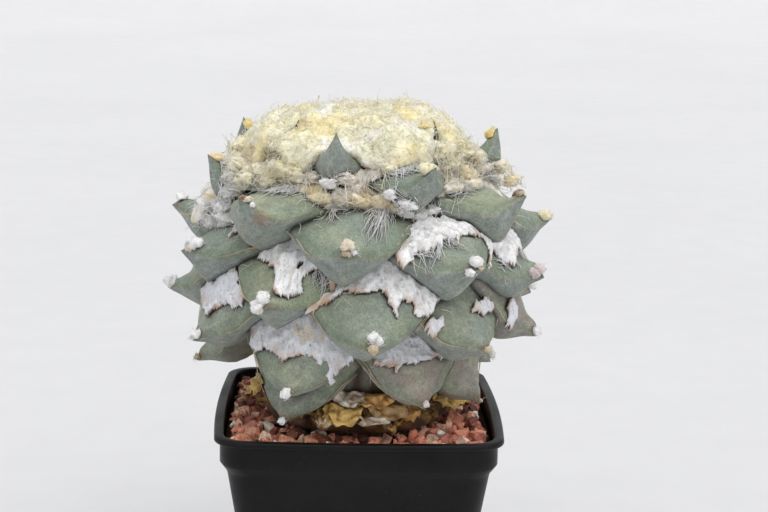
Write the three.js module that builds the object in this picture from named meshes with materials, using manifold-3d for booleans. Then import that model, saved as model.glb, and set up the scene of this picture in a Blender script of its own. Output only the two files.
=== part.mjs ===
// A potted ariocarpus: a square nursery pot with soil and lava grit, and in it a rosette cactus
// whose three-sided beaked tubercles follow one spiral rule from the woolly crown to the dried base.
// Millimetres, +Z up. The origin is the centre of the pot's underside, and -Y is the front.
import * as THREE from "three";
import { mergeVertices } from "three/addons/utils/BufferGeometryUtils.js";
import Module from "manifold-3d";

const wasm = await Module();
wasm.setup();

// Pot
const POT_HEIGHT = 80;
const RIM_HALF = 45;
const BASE_HALF = 30.5;
const WALL = 1.25;
const FLOOR = 1.6;
const CORNER_RADIUS = 9;
const SIDE_BOW = 1.3;
const LIP_HEIGHT = 1.9;
const LIP_REACH = 1.7;
const BAND_BOTTOM = 71;
const SHOULDER_BOTTOM = 68;
const BODY_TOP_HALF = 41.2;
const DRAIN_OFFSET = 18;
const DRAIN_RADIUS = 4;

// Soil and grit
const GAP = 0.35;
const SOIL_TOP = 69.5;
const GRIT_BED_TOP = 75.2;
const GRIT_STONE_HEIGHT = 75;
const GRIT_SPACING = 8;
const GRIT_STONE_SIZE = 5.2;
const GRIT_STONE_FLATNESS = 0.64;
const GRIT_JITTER = 2;
const GRIT_HIGHEST = 78.7;

// Plant
const DIVERGENCE = 98.76;
const FIRST_ANGLE = -1.9;
const LEAN = -0.03;
const LEAN_FROM = 80;
const LEAN_FULL = 100;
const YOUNGEST = -23;
const OLDEST = 26;
const DRIED_FROM = 27;
const DRIED_TO = 37;
const FIRST_AREOLE = -16;
const FIRST_OLD_WOOL = 0;
const UNDERSIDE = POT_HEIGHT + 0.5;
const ANGLE_NUDGE = { 4: 3, 7: 2, 15: 3, 22: 14, 25: 22, 26: 8 };
const HEIGHT_NUDGE = {
  [-11]: 2.5, [-8]: -1, [-7]: 1, [-6]: -1.5, 3: 2, 4: 4.5, 7: -1, 8: 5.5, 11: -3.5, 14: 0.5, 15: 1, 18: -4.5, 19: 8,
  21: 2, 22: -1, 25: -2, 26: 3,
};
const RADIUS_NUDGE = {
  [-10]: 2, [-8]: -1.5, [-6]: 7, 1: 2.5, 3: -3, 7: -3, 8: 1, 14: 1, 15: 2, 19: 7, 21: 2, 26: 3,
};
const DROP_NUDGE = { [-4]: 1.5, [-3]: 1, 0: 1.2, 3: -1.2, 4: 1, 8: 1, 10: -1.4, 11: 0.6 };
const RISE_NUDGE = { 3: 5, 4: 9, 8: 9, 15: 7 };

// Each list holds [tubercle number, size] pairs, counted from the youngest to the oldest.
const TIP_RADIUS = [[-26, 3], [-18, 14.5], [-12, 37.5], [-5, 56.6], [3, 62.6], [12, 61.5], [26, 46.7], [38, 37]];
const TIP_HEIGHT = [[-26, 178], [-18, 177.3], [-12, 174.2], [-5, 159.5], [3, 137], [12, 116], [26, 87], [38, 81]];
const RISE = [[-24, 86], [-15, 68], [-11, 54], [-7, 20], [-3, 12], [0, 0], [7, -18], [14, -34], [20, -42], [38, -50]];
const LENGTH = [[-24, 10], [-18, 17], [-11, 24], [-4, 27], [26, 27]];
const HALF_WIDTH = [[-24, 3], [-18, 6.5], [-11, 12.5], [-4, 19.5], [3, 22.5], [12, 23], [26, 20]];
const KEEL_DEPTH = [[-24, 3], [-18, 6], [-11, 11], [-4, 16], [0, 18.5], [12, 18.5], [26, 15]];
const FACE_CROWN = [[-24, 1], [-11, 5], [0, 10], [26, 10]];
const EDGE_DROP = [[-12, 0], [-7, 4], [-4, 2], [0, 3.4], [7, 3], [26, 3]];
const WIDTH_POWER = [[-14, 1.1], [-9, 1.25], [-4, 1.7]];

// Dried tubercles: shrunken, wrinkled and lying out over the grit
const DRIED = { width: 10, keel: 4, face: 3, length: 17, rise: -8 };
const DRIED_TIP_RADIUS = 43;
const DRIED_TIP_HEIGHT = 83.5;
const DRIED_STEP_IN = 0.35;
const DRIED_STEP_DOWN = 0.15;
const DRIED_CREASE = 0.9;
const DRIED_UNDERSIDE = 79.1;

// Shape of one tubercle along its length, from 0 at the stem to 1 at the tip
const RING_STEPS = [-0.2, 0.25, 0.58, 0.84];
const SECTION = [[0, 1], [0.55, 1], [1, 0], [0.5, -0.56], [0, -1], [-0.5, -0.56], [-1, 0], [-0.55, 1]];
const FACE_SHOULDER = 0.73;
const FACE_ROUNDNESS = 2.2;
const EDGE_LIFT = 1.5;
const KEEL_POWER = 2.9;
const FACE_POWER = 1.6;
const BEAK_SAG = 1.5;
const BEAK_NARROWING = 0.4;
const LAST_DOWNTURNED = -1;
const FIRST_UPTURNED = -4;
const SAG_SPAN = [0.4, 1];
const NARROWING_SPAN = [0.7, 0.95];
const DROP_SPAN = [0.05, 0.65];
const UPTURN_SPAN = [0.7, 1];
const NOSE_SPAN = [0.84, 1.03];
const SECTION_SKEW = 0.18;
const YOUNG_AREOLE_STEP = 0.87;
const OLD_AREOLE_STEP = 0.94;
const INNER_AREOLES = [0, 11];
const AREOLE_SHIFT_AGES = [-2, 3];
const AREOLE_LIFT = 0.4;
const AREOLE_RADIUS = 2.1;

// Old wool on a tubercle's upper face, from the axil outward
const OLD_WOOL_COLUMNS = 5;
const OLD_WOOL_ROWS = 2;
const OLD_WOOL_START = -0.1;
const OLD_WOOL_END = 0.2;
const OLD_WOOL_TONGUE = 0.24;
const OLD_WOOL_LIFT = 1.5;
const OLD_WOOL_ROOT = 1.2;

// Stem and taproot, as [radius, height] pairs
const NECK_RADIUS = 24;
const STEM_TOP = [[20, 157], [29, 151], [34, 141], [36, 126], [36, 112], [32, 99], [27, 89]];
const NECK = [[NECK_RADIUS, 80], [23, 70]];
const TAPROOT = [[21, 60], [16, 46], [10, 34], [4, 25]];
const STEM_SIDES = 20;

// Wool
const WOOL_TOP = [[0, 177.2], [12, 176.8], [24, 175.2], [33, 170.4], [40, 164]];
const WOOL_UNDERSIDE = [[42, 159], [36, 155], [25, 161]];
const WOOL_TUFTS = 60;
const WOOL_TUFT_LENGTH = 7.2;
const WOOL_TUFT_RADIUS = 4.8;
const WOOL_REACH = 41;

const COLOURS = {
  pot: 0x17181a, soil: 0x3a2a20, grit: 0x8f5a4a, plant: 0x7f8f7c, wool: 0xe9dcb6, dried: 0xc79a4b,
};

// Seeded random numbers from 0 to 1
function seeded(seed) {
  let state = seed;
  return () => {
    state = (state + 0x6d2b79f5) | 0;
    let mixed = Math.imul(state ^ (state >>> 15), 1 | state);
    mixed = (mixed + Math.imul(mixed ^ (mixed >>> 7), 61 | mixed)) ^ mixed;
    return ((mixed ^ (mixed >>> 14)) >>> 0) / 4294967296;
  };
}

// A smooth curve through [x, y] pairs, flat beyond its ends
function along(pairs, x) {
  const last = pairs.length - 1;
  if (x <= pairs[0][0]) return pairs[0][1];
  if (x >= pairs[last][0]) return pairs[last][1];
  const i = pairs.findIndex((pair, k) => x >= pair[0] && x < pairs[k + 1][0]);
  const slope = (k) => {
    const before = pairs[Math.max(k - 1, 0)];
    const after = pairs[Math.min(k + 1, last)];
    return (after[1] - before[1]) / (after[0] - before[0]);
  };
  const span = pairs[i + 1][0] - pairs[i][0];
  const t = (x - pairs[i][0]) / span;
  return pairs[i][1] * (1 + 2 * t) * (1 - t) ** 2 + slope(i) * span * t * (1 - t) ** 2
    + pairs[i + 1][1] * t ** 2 * (3 - 2 * t) + slope(i + 1) * span * t ** 2 * (t - 1);
}

function smoothStep(low, high, x) {
  const t = Math.min(Math.max((x - low) / (high - low), 0), 1);
  return t * t * (3 - 2 * t);
}

// Solids
function toSolid(geometry) {
  const bare = geometry.index ? geometry.toNonIndexed() : geometry;
  bare.deleteAttribute("normal");
  bare.deleteAttribute("uv");
  const merged = mergeVertices(bare, 1e-4);
  const vertProperties = new Float32Array(merged.attributes.position.array);
  const triVerts = new Uint32Array(merged.index.array);
  return new wasm.Manifold(new wasm.Mesh({ numProp: 3, vertProperties, triVerts }));
}

function toGeometry(solid) {
  const mesh = solid.getMesh();
  const geometry = new THREE.BufferGeometry();
  geometry.setAttribute("position", new THREE.BufferAttribute(new Float32Array(mesh.vertProperties), 3));
  geometry.setIndex(new THREE.BufferAttribute(new Uint32Array(mesh.triVerts), 1));
  return geometry;
}

// The largest body of a joined solid, with sealed hollows filled and loose scraps dropped
function wholeBody(solid) {
  const bodies = solid.decompose();
  return bodies.reduce((best, body) => (body.volume() > best.volume() ? body : best));
}

// A closed skin over rings of points that turn counter-clockwise seen from the last ring
function loft(rings, firstCentre, lastCentre) {
  const count = rings[0].length;
  const points = [firstCentre, ...rings.flat(), lastCentre];
  const indices = [];
  const at = (ring, k) => 1 + ring * count + (k % count);
  for (let k = 0; k < count; k += 1) {
    indices.push(0, at(0, k + 1), at(0, k));
    indices.push(points.length - 1, at(rings.length - 1, k), at(rings.length - 1, k + 1));
    for (let ring = 0; ring + 1 < rings.length; ring += 1) {
      indices.push(at(ring, k), at(ring, k + 1), at(ring + 1, k));
      indices.push(at(ring, k + 1), at(ring + 1, k + 1), at(ring + 1, k));
    }
  }
  const geometry = new THREE.BufferGeometry().setFromPoints(points);
  geometry.setIndex(indices);
  return toSolid(geometry);
}

function ringCentre(ring) {
  return ring.reduce((sum, point) => sum.add(point), new THREE.Vector3()).divideScalar(ring.length);
}

// Tips a point over sideways with the plant, which leans from its neck up
function leaned(point) {
  point.x += LEAN * Math.max(point.z - LEAN_FROM, 0);
  point.z -= LEAN * point.x * Math.min(Math.max((point.z - LEAN_FROM) / (LEAN_FULL - LEAN_FROM), 0), 1);
  return point;
}

// A turned solid from [radius, height] pairs that go down, grown by extra on every side
function turned(profile, segments, extra = 0) {
  const rings = [...profile].reverse().map(([radius, height]) => (
    Array.from({ length: segments }, (_, k) => {
      const angle = (2 * Math.PI * k) / segments;
      return leaned(new THREE.Vector3(
        (radius + extra) * Math.cos(angle), (radius + extra) * Math.sin(angle), height,
      ));
    })
  ));
  const bottom = ringCentre(rings[0]).add(new THREE.Vector3(0, 0, -extra));
  const top = ringCentre(rings[rings.length - 1]).add(new THREE.Vector3(0, 0, extra));
  return loft(rings, bottom, top);
}

// A rounded square ring whose sides bow out in the middle
function squareRing(half, corner, height) {
  const ring = [];
  const steps = 3;
  for (let side = 0; side < 4; side += 1) {
    const turn = (side * Math.PI) / 2;
    const place = (x, y) => new THREE.Vector3(
      x * Math.cos(turn) - y * Math.sin(turn), x * Math.sin(turn) + y * Math.cos(turn), height,
    );
    ring.push(place(half + SIDE_BOW * (half / RIM_HALF), 0));
    for (let k = 0; k <= steps; k += 1) {
      const angle = (k * Math.PI) / 2 / steps;
      ring.push(place(half - corner + corner * Math.cos(angle), half - corner + corner * Math.sin(angle)));
    }
  }
  return ring;
}

function squareStack(levels) {
  const rings = levels.map(([half, corner, height]) => squareRing(half, corner, height));
  return loft(rings, ringCentre(rings[0]), ringCentre(rings[rings.length - 1]));
}

function bodyHalf(height) {
  return BASE_HALF + ((BODY_TOP_HALF - BASE_HALF) * height) / SHOULDER_BOTTOM;
}

// Pot shell
function makePot() {
  const bandHalf = RIM_HALF - LIP_REACH;
  const lipBottom = POT_HEIGHT - LIP_HEIGHT;
  const shell = squareStack([
    [BASE_HALF - 0.8, CORNER_RADIUS - 2, 0],
    [bodyHalf(1), CORNER_RADIUS - 2, 1],
    [BODY_TOP_HALF, CORNER_RADIUS, SHOULDER_BOTTOM],
    [bandHalf, CORNER_RADIUS, BAND_BOTTOM],
    [bandHalf, CORNER_RADIUS, lipBottom],
    [RIM_HALF, CORNER_RADIUS, lipBottom],
    [RIM_HALF, CORNER_RADIUS, POT_HEIGHT - 0.3],
    [RIM_HALF - 0.3, CORNER_RADIUS, POT_HEIGHT],
    [bandHalf - WALL, CORNER_RADIUS - WALL, POT_HEIGHT],
    [bandHalf - WALL, CORNER_RADIUS - WALL, BAND_BOTTOM],
    [BODY_TOP_HALF - WALL, CORNER_RADIUS - WALL, SHOULDER_BOTTOM],
    [bodyHalf(FLOOR) - WALL, CORNER_RADIUS - 2 - WALL, FLOOR],
  ]);
  const drains = [];
  for (const x of [-DRAIN_OFFSET, DRAIN_OFFSET]) {
    for (const y of [-DRAIN_OFFSET, DRAIN_OFFSET]) {
      const drill = new THREE.CylinderGeometry(DRAIN_RADIUS, DRAIN_RADIUS, 4 * FLOOR, 12);
      drill.rotateX(Math.PI / 2);
      drill.translate(x, y, 0);
      drains.push(toSolid(drill));
    }
  }
  return shell.subtract(wasm.Manifold.union(drains));
}

// What fills the pot between two heights, clear of its inner wall
function potFilling(low, high) {
  const levels = [low, SHOULDER_BOTTOM, BAND_BOTTOM, high].filter((h) => h >= low && h <= high);
  return squareStack([...new Set(levels)].map((height) => {
    const outer = height <= SHOULDER_BOTTOM ? bodyHalf(height) : along(
      [[SHOULDER_BOTTOM, BODY_TOP_HALF], [BAND_BOTTOM, RIM_HALF - LIP_REACH]], height,
    );
    return [outer - WALL - GAP, CORNER_RADIUS - WALL - GAP, height];
  }));
}

function rootSpace() {
  return turned([[NECK_RADIUS, 90], ...NECK, ...TAPROOT], STEM_SIDES, GAP);
}

function makeSoil() {
  return potFilling(FLOOR + GAP, SOIL_TOP).subtract(rootSpace());
}

// Lava grit: angular stones bedded in a layer of the same grit
function makeGrit() {
  const random = seeded(11);
  const stones = [potFilling(SOIL_TOP + GAP, GRIT_BED_TOP)];
  const reach = RIM_HALF - LIP_REACH - WALL;
  const rowSpacing = GRIT_SPACING * Math.sin(Math.PI / 3);
  for (let y = -reach; y <= reach; y += rowSpacing) {
    const shift = (Math.round(y / rowSpacing) % 2) * (GRIT_SPACING / 2);
    for (let x = -reach; x <= reach; x += GRIT_SPACING) {
      const px = x + shift + (random() - 0.5) * GRIT_JITTER;
      const py = y + (random() - 0.5) * GRIT_JITTER;
      const size = GRIT_STONE_SIZE * (0.8 + 0.35 * random());
      const stone = new THREE.OctahedronGeometry(size, 0);
      stone.rotateX(random() * Math.PI);
      stone.rotateY(random() * Math.PI);
      stone.scale(1, 0.8 + 0.3 * random(), GRIT_STONE_FLATNESS);
      stone.rotateZ(random() * Math.PI);
      stone.translate(px, py, GRIT_STONE_HEIGHT + (random() - 0.5));
      const clearOfStem = Math.hypot(px, py) > NECK_RADIUS;
      const inside = Math.max(Math.abs(px), Math.abs(py)) < reach;
      if (clearOfStem && inside) stones.push(toSolid(stone));
    }
  }
  const bed = wasm.Manifold.union(stones).intersect(potFilling(SOIL_TOP + GAP, GRIT_HIGHEST));
  return wholeBody(bed.subtract(rootSpace()));
}

// The frame of tubercle number n: its tip, and its outward, sideways and upward directions
function tubercleFrame(n) {
  const angle = THREE.MathUtils.degToRad(FIRST_ANGLE + DIVERGENCE * n + (ANGLE_NUDGE[n] ?? 0));
  const dried = n >= DRIED_FROM;
  const rise = THREE.MathUtils.degToRad(dried ? DRIED.rise : along(RISE, n) + (RISE_NUDGE[n] ?? 0));
  const radius = dried ? DRIED_TIP_RADIUS - DRIED_STEP_IN * (n - DRIED_FROM)
    : along(TIP_RADIUS, n) + (RADIUS_NUDGE[n] ?? 0);
  const height = dried ? DRIED_TIP_HEIGHT - DRIED_STEP_DOWN * (n - DRIED_FROM)
    : along(TIP_HEIGHT, n) + (HEIGHT_NUDGE[n] ?? 0);
  const radial = new THREE.Vector3(Math.sin(angle), -Math.cos(angle), 0);
  return {
    tip: leaned(radial.clone().multiplyScalar(radius).setZ(height)),
    out: radial.clone().multiplyScalar(Math.cos(rise)).setZ(Math.sin(rise)),
    side: new THREE.Vector3(Math.cos(angle), Math.sin(angle), 0),
    up: radial.clone().multiplyScalar(-Math.sin(rise)).setZ(Math.cos(rise)),
  };
}

function tubercleLength(n) {
  return n >= DRIED_FROM ? DRIED.length : along(LENGTH, n);
}

// Sizes of tubercle number n at step t along it
function tubercleSizes(n, t) {
  const dried = n >= DRIED_FROM;
  const inner = Math.max(t, 0);
  const sag = dried ? 0 : BEAK_SAG * Math.sin(Math.PI * smoothStep(...SAG_SPAN, t));
  const width = (dried ? DRIED.width : along(HALF_WIDTH, n)) * (1 - inner ** along(WIDTH_POWER, n));
  const drop = dried ? 0 : along(EDGE_DROP, n) + (DROP_NUDGE[n] ?? 0);
  const upturn = smoothStep(LAST_DOWNTURNED, FIRST_UPTURNED, n);
  const lowered = drop * smoothStep(...DROP_SPAN, t) * (1 - upturn * smoothStep(...UPTURN_SPAN, t));
  const nose = drop * smoothStep(...NOSE_SPAN, t) * (1 - upturn);
  return {
    width: width * (1 - BEAK_NARROWING * smoothStep(...NARROWING_SPAN, t)),
    face: (dried ? DRIED.face : along(FACE_CROWN, n)) * (1 - inner) ** FACE_POWER - sag - nose,
    edge: EDGE_LIFT * (1 - inner) - sag - lowered,
    keel: (dried ? DRIED.keel : along(KEEL_DEPTH, n)) * (1 - inner ** KEEL_POWER) + sag + nose,
  };
}

function tuberclePoint(n, t, across, height) {
  const frame = tubercleFrame(n);
  return frame.tip.clone()
    .addScaledVector(frame.out, (t - 1) * tubercleLength(n))
    .addScaledVector(frame.side, across + SECTION_SKEW * height)
    .addScaledVector(frame.up, height);
}

// A point on the upper face: q runs from -1 to 1 across it, and lift stands off it
function facePoint(n, t, q, lift) {
  const { width, face, edge } = tubercleSizes(n, t);
  return tuberclePoint(n, t, q * width, edge + (face - edge) * (1 - Math.abs(q) ** FACE_ROUNDNESS) + lift);
}

// One three-sided beaked tubercle, grown by extra on every side
function makeTubercle(n, extra = 0) {
  const crease = n >= DRIED_FROM ? DRIED_CREASE : 0;
  const rings = RING_STEPS.map((t, step) => {
    const { width, face, edge, keel } = tubercleSizes(n, t);
    return SECTION.map(([across, level], k) => {
      const shoulder = across === 0 ? 1 : FACE_SHOULDER;
      const wrinkle = crease * ((k + step) % 2);
      const height = level > 0 ? edge + (face - edge) * shoulder + extra + wrinkle
        : edge + level * (keel + edge + extra);
      return tuberclePoint(n, t, across * (width + extra), height);
    });
  });
  const tip = tuberclePoint(n, 1 + extra / tubercleLength(n), 0, tubercleSizes(n, 1).face);
  return loft(rings.map((ring) => ring.reverse()), ringCentre(rings[0]), tip);
}

// The woolly knob on the upper face just behind the beak
function makeAreole(n, extra = 0) {
  const knob = new THREE.IcosahedronGeometry(AREOLE_RADIUS * (n < -8 ? 0.8 : 1) + extra, 0);
  const outward = INNER_AREOLES.includes(n) ? 0 : smoothStep(...AREOLE_SHIFT_AGES, n);
  const step = YOUNG_AREOLE_STEP + (OLD_AREOLE_STEP - YOUNG_AREOLE_STEP) * outward;
  const seat = facePoint(n, step, 0, AREOLE_LIFT);
  knob.translate(seat.x, seat.y, seat.z);
  return toSolid(knob);
}

// A torn pad of old wool that spreads from the axil over the upper face, grown by extra
function makeOldWool(n, extra = 0) {
  const random = seeded(100 + n);
  const columns = OLD_WOOL_COLUMNS;
  const rows = OLD_WOOL_ROWS;
  const start = OLD_WOOL_START;
  const left = -0.95 + 0.5 * random() - extra / along(HALF_WIDTH, n);
  const right = 0.5 + 0.45 * random() + extra / along(HALF_WIDTH, n);
  const tongue = Math.floor(random() * columns);
  const ends = Array.from({ length: columns + 1 }, (_, i) => (
    OLD_WOOL_END + 0.16 * random() + extra / along(LENGTH, n)
      + (i === tongue || i === tongue + 1 ? OLD_WOOL_TONGUE : 0)
  ));
  const layer = (lift) => ends.map((end, i) => (
    Array.from({ length: rows + 1 }, (_, j) => {
      const rim = i === 0 || i === columns || j === rows;
      return facePoint(n, start + ((end - start) * j) / rows, left + ((right - left) * i) / columns,
        lift > 0 && rim ? lift * 0.55 : lift);
    })
  ));
  const top = layer(OLD_WOOL_LIFT + extra).flat();
  const bottom = layer(-OLD_WOOL_ROOT - extra).flat();
  const points = [...top, ...bottom];
  const at = (i, j) => i * (rows + 1) + j;
  const indices = [];
  const quad = (a, b, c, d) => indices.push(a, b, c, a, c, d);
  for (let i = 0; i < columns; i += 1) {
    for (let j = 0; j < rows; j += 1) {
      quad(at(i, j), at(i, j + 1), at(i + 1, j + 1), at(i + 1, j));
      const under = top.length;
      quad(under + at(i, j), under + at(i + 1, j), under + at(i + 1, j + 1), under + at(i, j + 1));
    }
  }
  const rim = [];
  for (let i = 0; i < columns; i += 1) rim.push(at(i, 0));
  for (let j = 0; j < rows; j += 1) rim.push(at(columns, j));
  for (let i = columns; i > 0; i -= 1) rim.push(at(i, rows));
  for (let j = rows; j > 0; j -= 1) rim.push(at(0, j));
  rim.forEach((here, k) => {
    const next = rim[(k + 1) % rim.length];
    quad(here, next, next + top.length, here + top.length);
  });
  const geometry = new THREE.BufferGeometry().setFromPoints(points);
  geometry.setIndex(indices);
  return toSolid(geometry);
}

function numbers(first, last) {
  return Array.from({ length: last - first + 1 }, (_, k) => first + k);
}

function aboveHeight(height) {
  const box = new THREE.BoxGeometry(400, 400, 400);
  box.translate(0, 0, height + 200);
  return toSolid(box);
}

// The plant: stem, taproot, living tubercles, areoles and old wool, grown as one body
function makePlant() {
  const growth = [turned([...STEM_TOP, ...NECK], STEM_SIDES)];
  for (const n of numbers(YOUNGEST, OLDEST)) {
    growth.push(makeTubercle(n));
    if (n >= FIRST_AREOLE) growth.push(makeAreole(n));
    if (n >= FIRST_OLD_WOOL) growth.push(makeOldWool(n));
  }
  const above = wasm.Manifold.union(growth).intersect(aboveHeight(UNDERSIDE));
  const root = turned([[NECK_RADIUS, UNDERSIDE + 4], ...NECK, ...TAPROOT], STEM_SIDES);
  return wholeBody(above.add(root));
}

// The room the plant takes, for the pieces that lie against it
function plantSpace(first, last) {
  const room = [turned([...STEM_TOP, ...NECK], STEM_SIDES, GAP)];
  for (const n of numbers(first, last)) {
    room.push(makeTubercle(n, GAP));
    if (n >= FIRST_AREOLE) room.push(makeAreole(n, GAP));
    if (n >= FIRST_OLD_WOOL) room.push(makeOldWool(n, GAP));
  }
  return wasm.Manifold.union(room);
}

// Crown wool: a low cushion with pointed tufts, pierced by the young tubercles
function makeCrownWool() {
  const random = seeded(23);
  const tufts = [turned([...WOOL_TOP.slice(1), ...WOOL_UNDERSIDE], 18)];
  const golden = Math.PI * (3 - Math.sqrt(5));
  for (let k = 0; k < WOOL_TUFTS; k += 1) {
    const share = (k + 0.5) / WOOL_TUFTS;
    const angle = k * golden;
    const radius = WOOL_REACH * Math.sqrt(share);
    const height = along(WOOL_TOP, radius);
    const tilt = 0.2 + 0.95 * share + 0.5 * (random() - 0.5);
    const length = WOOL_TUFT_LENGTH * (0.8 + 0.4 * random());
    const tuft = new THREE.ConeGeometry(WOOL_TUFT_RADIUS, length, 4, 1);
    tuft.translate(0, length / 4, 0);
    tuft.rotateX(Math.PI / 2);
    tuft.rotateY(tilt);
    tuft.rotateZ(angle + 0.8 * (random() - 0.5));
    const seat = leaned(new THREE.Vector3(radius * Math.cos(angle), radius * Math.sin(angle), height - 1.4));
    tuft.translate(seat.x, seat.y, seat.z);
    tufts.push(toSolid(tuft));
  }
  return wholeBody(wasm.Manifold.union(tufts).subtract(plantSpace(YOUNGEST, 4)));
}

// Dried tubercles: a collar of shrunken old ones round the neck, on the grit
function makeDriedTubercles() {
  const collar = turned([[28, 84], [30, 82], [30, 78]], 16);
  const dried = numbers(DRIED_FROM, DRIED_TO).map((n) => makeTubercle(n));
  const above = wasm.Manifold.union([collar, ...dried]).intersect(aboveHeight(DRIED_UNDERSIDE));
  return wholeBody(above.subtract(plantSpace(6, OLDEST)).subtract(rootSpace()));
}

function named(name, solid, colour, roughness) {
  const material = new THREE.MeshStandardMaterial({ color: colour, roughness, metalness: 0 });
  const mesh = new THREE.Mesh(toGeometry(solid), material);
  mesh.name = name;
  return mesh;
}

const group = new THREE.Group();
group.add(named("pot", makePot(), COLOURS.pot, 0.4));
group.add(named("soil", makeSoil(), COLOURS.soil, 0.95));
group.add(named("grit", makeGrit(), COLOURS.grit, 0.95));
group.add(named("plant", makePlant(), COLOURS.plant, 0.75));
group.add(named("crown_wool", makeCrownWool(), COLOURS.wool, 0.95));
group.add(named("dried_tubercles", makeDriedTubercles(), COLOURS.dried, 0.9));

export default group;
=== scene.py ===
import math

import bmesh
import bpy
import numpy as np
from mathutils import Matrix, Vector
from mathutils.kdtree import KDTree


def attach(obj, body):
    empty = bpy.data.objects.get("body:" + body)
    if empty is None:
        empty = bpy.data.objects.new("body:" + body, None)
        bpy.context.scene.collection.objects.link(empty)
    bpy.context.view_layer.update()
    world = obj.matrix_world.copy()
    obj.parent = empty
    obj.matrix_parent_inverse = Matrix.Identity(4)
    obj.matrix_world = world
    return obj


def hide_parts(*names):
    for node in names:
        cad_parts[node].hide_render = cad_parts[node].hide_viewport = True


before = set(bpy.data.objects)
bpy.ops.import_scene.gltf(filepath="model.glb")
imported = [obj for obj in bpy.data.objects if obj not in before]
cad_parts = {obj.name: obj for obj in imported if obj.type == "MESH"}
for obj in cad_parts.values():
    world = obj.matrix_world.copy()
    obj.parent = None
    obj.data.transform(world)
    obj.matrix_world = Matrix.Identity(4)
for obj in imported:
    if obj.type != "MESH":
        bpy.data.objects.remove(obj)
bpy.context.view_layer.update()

# The model's own numbers are in millimetres, and MM turns them into Blender's metres.
MM = 0.001

# Camera, solved on the pot's rim in the photograph
CAMERA_PLACE = (-0.0103, -0.5567, 0.2416)
CAMERA_YAW = math.radians(1.84)
CAMERA_PITCH = math.radians(11.36)
CAMERA_ROLL = math.radians(1.21)
CAMERA_LENS = 82.03
SENSOR_WIDTH = 36.0

# Light
WORLD_LIGHT = 0.54
TOP_LIGHT = 2.03
SIDE_LIGHT = 0.35

# Pot
POT_HEIGHT = 80
RIM_HALF = 45
BASE_HALF = 30.5
WALL = 1.25
FLOOR = 1.6
CORNER_RADIUS = 9
SIDE_BOW = 1.3
BAND_HALF = 43.3
BAND_BOTTOM = 71
SHOULDER_BOTTOM = 68
BODY_TOP_HALF = 41.2
DRAIN_OFFSET = 18
DRAIN_RADIUS = 4

# The spiral rule of the tubercles, from the youngest to the oldest
DIVERGENCE = 98.76
FIRST_ANGLE = -1.9
LEAN = -0.03
LEAN_FROM = 80
LEAN_FULL = 100
YOUNGEST = -23
OLDEST = 26
DRIED_FROM = 27
DRIED_TO = 37
FIRST_AREOLE = -16
UNDERSIDE = 80.5
DRIED_UNDERSIDE = 79.1
DRIED_RISE = -8
DRIED_RADIUS = 41
DRIED_RADIUS_STEP = 0.35
DRIED_HEIGHT = 83.5
DRIED_HEIGHT_STEP = 0.15
DRIED_LENGTH = 17
DRIED_HALF_WIDTH = 10
DRIED_KEEL = 4
DRIED_CROWN = 3
SHORTER_BEHIND = 5
FRONT_DRIED = (29, 33)
DULL_DRIED = (29, 30, 34)
PLEATS = 12
ANGLE_NUDGE = {4: 3, 7: 2, 15: 3, 22: 14, 25: 22, 26: 8}
HEIGHT_NUDGE = {
    -11: 2.5, -8: -1, -7: 1, -6: -1.5, 3: 2, 4: 4.5, 7: -1, 8: 5.5, 11: -3.5, 14: 0.5, 15: 1, 18: -4.5,
    19: 8, 21: 2, 22: -1, 25: -2, 26: 3,
}
RADIUS_NUDGE = {-10: 2, -8: -1.5, -6: 7, 1: 2.5, 3: -3, 7: -3, 8: 1, 14: 1, 15: 2, 19: 7, 21: 2, 26: 3}

SAG = 1.5
SKEW = 0.18
FACE_ROUNDNESS = 2.2
FLANK_ROUNDNESS = 0.85
MOST_ACROSS = 1.15
TIP_STEP = 0.996

# Each list holds [tubercle number, size] pairs.
TIP_RADIUS = [[-26, 3], [-18, 14.5], [-12, 37.5], [-5, 56.6], [3, 62.6], [12, 61.5], [26, 46.7], [38, 37]]
TIP_HEIGHT = [[-26, 178], [-18, 177.3], [-12, 174.2], [-5, 159.5], [3, 137], [12, 116], [26, 87], [38, 81]]
RISE = [
    [-24, 86], [-15, 68], [-11, 54], [-7, 20], [-3, 12], [0, 0], [7, -18], [14, -34], [20, -42], [38, -50],
]
LENGTH = [[-24, 10], [-18, 17], [-11, 24], [-4, 27], [26, 27]]
HALF_WIDTH = [[-24, 3], [-18, 6.5], [-11, 12.5], [-4, 19.5], [3, 22.5], [12, 23], [26, 20]]
KEEL_DEPTH = [[-24, 3], [-18, 6], [-11, 11], [-4, 16], [0, 18.5], [12, 18.5], [26, 15]]
FACE_CROWN = [[-24, 1], [-11, 5], [0, 10], [26, 10]]
WIDTH_POWER = [[-14, 1.1], [-9, 1.25], [-4, 1.7]]
EDGE_DROP = [[-12, 0], [-7, 4], [-4, 2], [0, 3.4], [7, 3], [26, 3]]
DROP_NUDGE = {-4: 1.5, -3: 1, 0: 1.2, 3: -1.2, 4: 1, 8: 1, 10: -1.4, 11: 0.6}
RISE_NUDGE = {3: 5, 4: 9, 8: 9, 15: 7}
LAST_DOWNTURNED = -1
FIRST_UPTURNED = -4
YOUNG_AREOLE_STEP = 0.87
OLD_AREOLE_STEP = 0.92

# Stem and root, as [radius, height] pairs
STEM = [[0.5, 158], [20, 157], [29, 151], [34, 141], [36, 126], [36, 112], [32, 99], [27, 89], [24, 80]]
ROOT = [[0.5, 86], [24, 85], [24, 80], [23, 70], [21, 60], [16, 46], [10, 34], [4, 25], [0.5, 24.5]]

# Crown wool
WOOL_OUTLINE = [
    [0.2, 177.6], [12, 177.4], [20, 176.6], [27, 174.8], [31.5, 172], [34.5, 168], [36, 163], [36.5, 158],
    [36, 153], [34, 150], [28, 149], [0.2, 150],
]
WOOL_LOWEST_FIBRE = 156
WOOL_FIBRES = 10200

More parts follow.
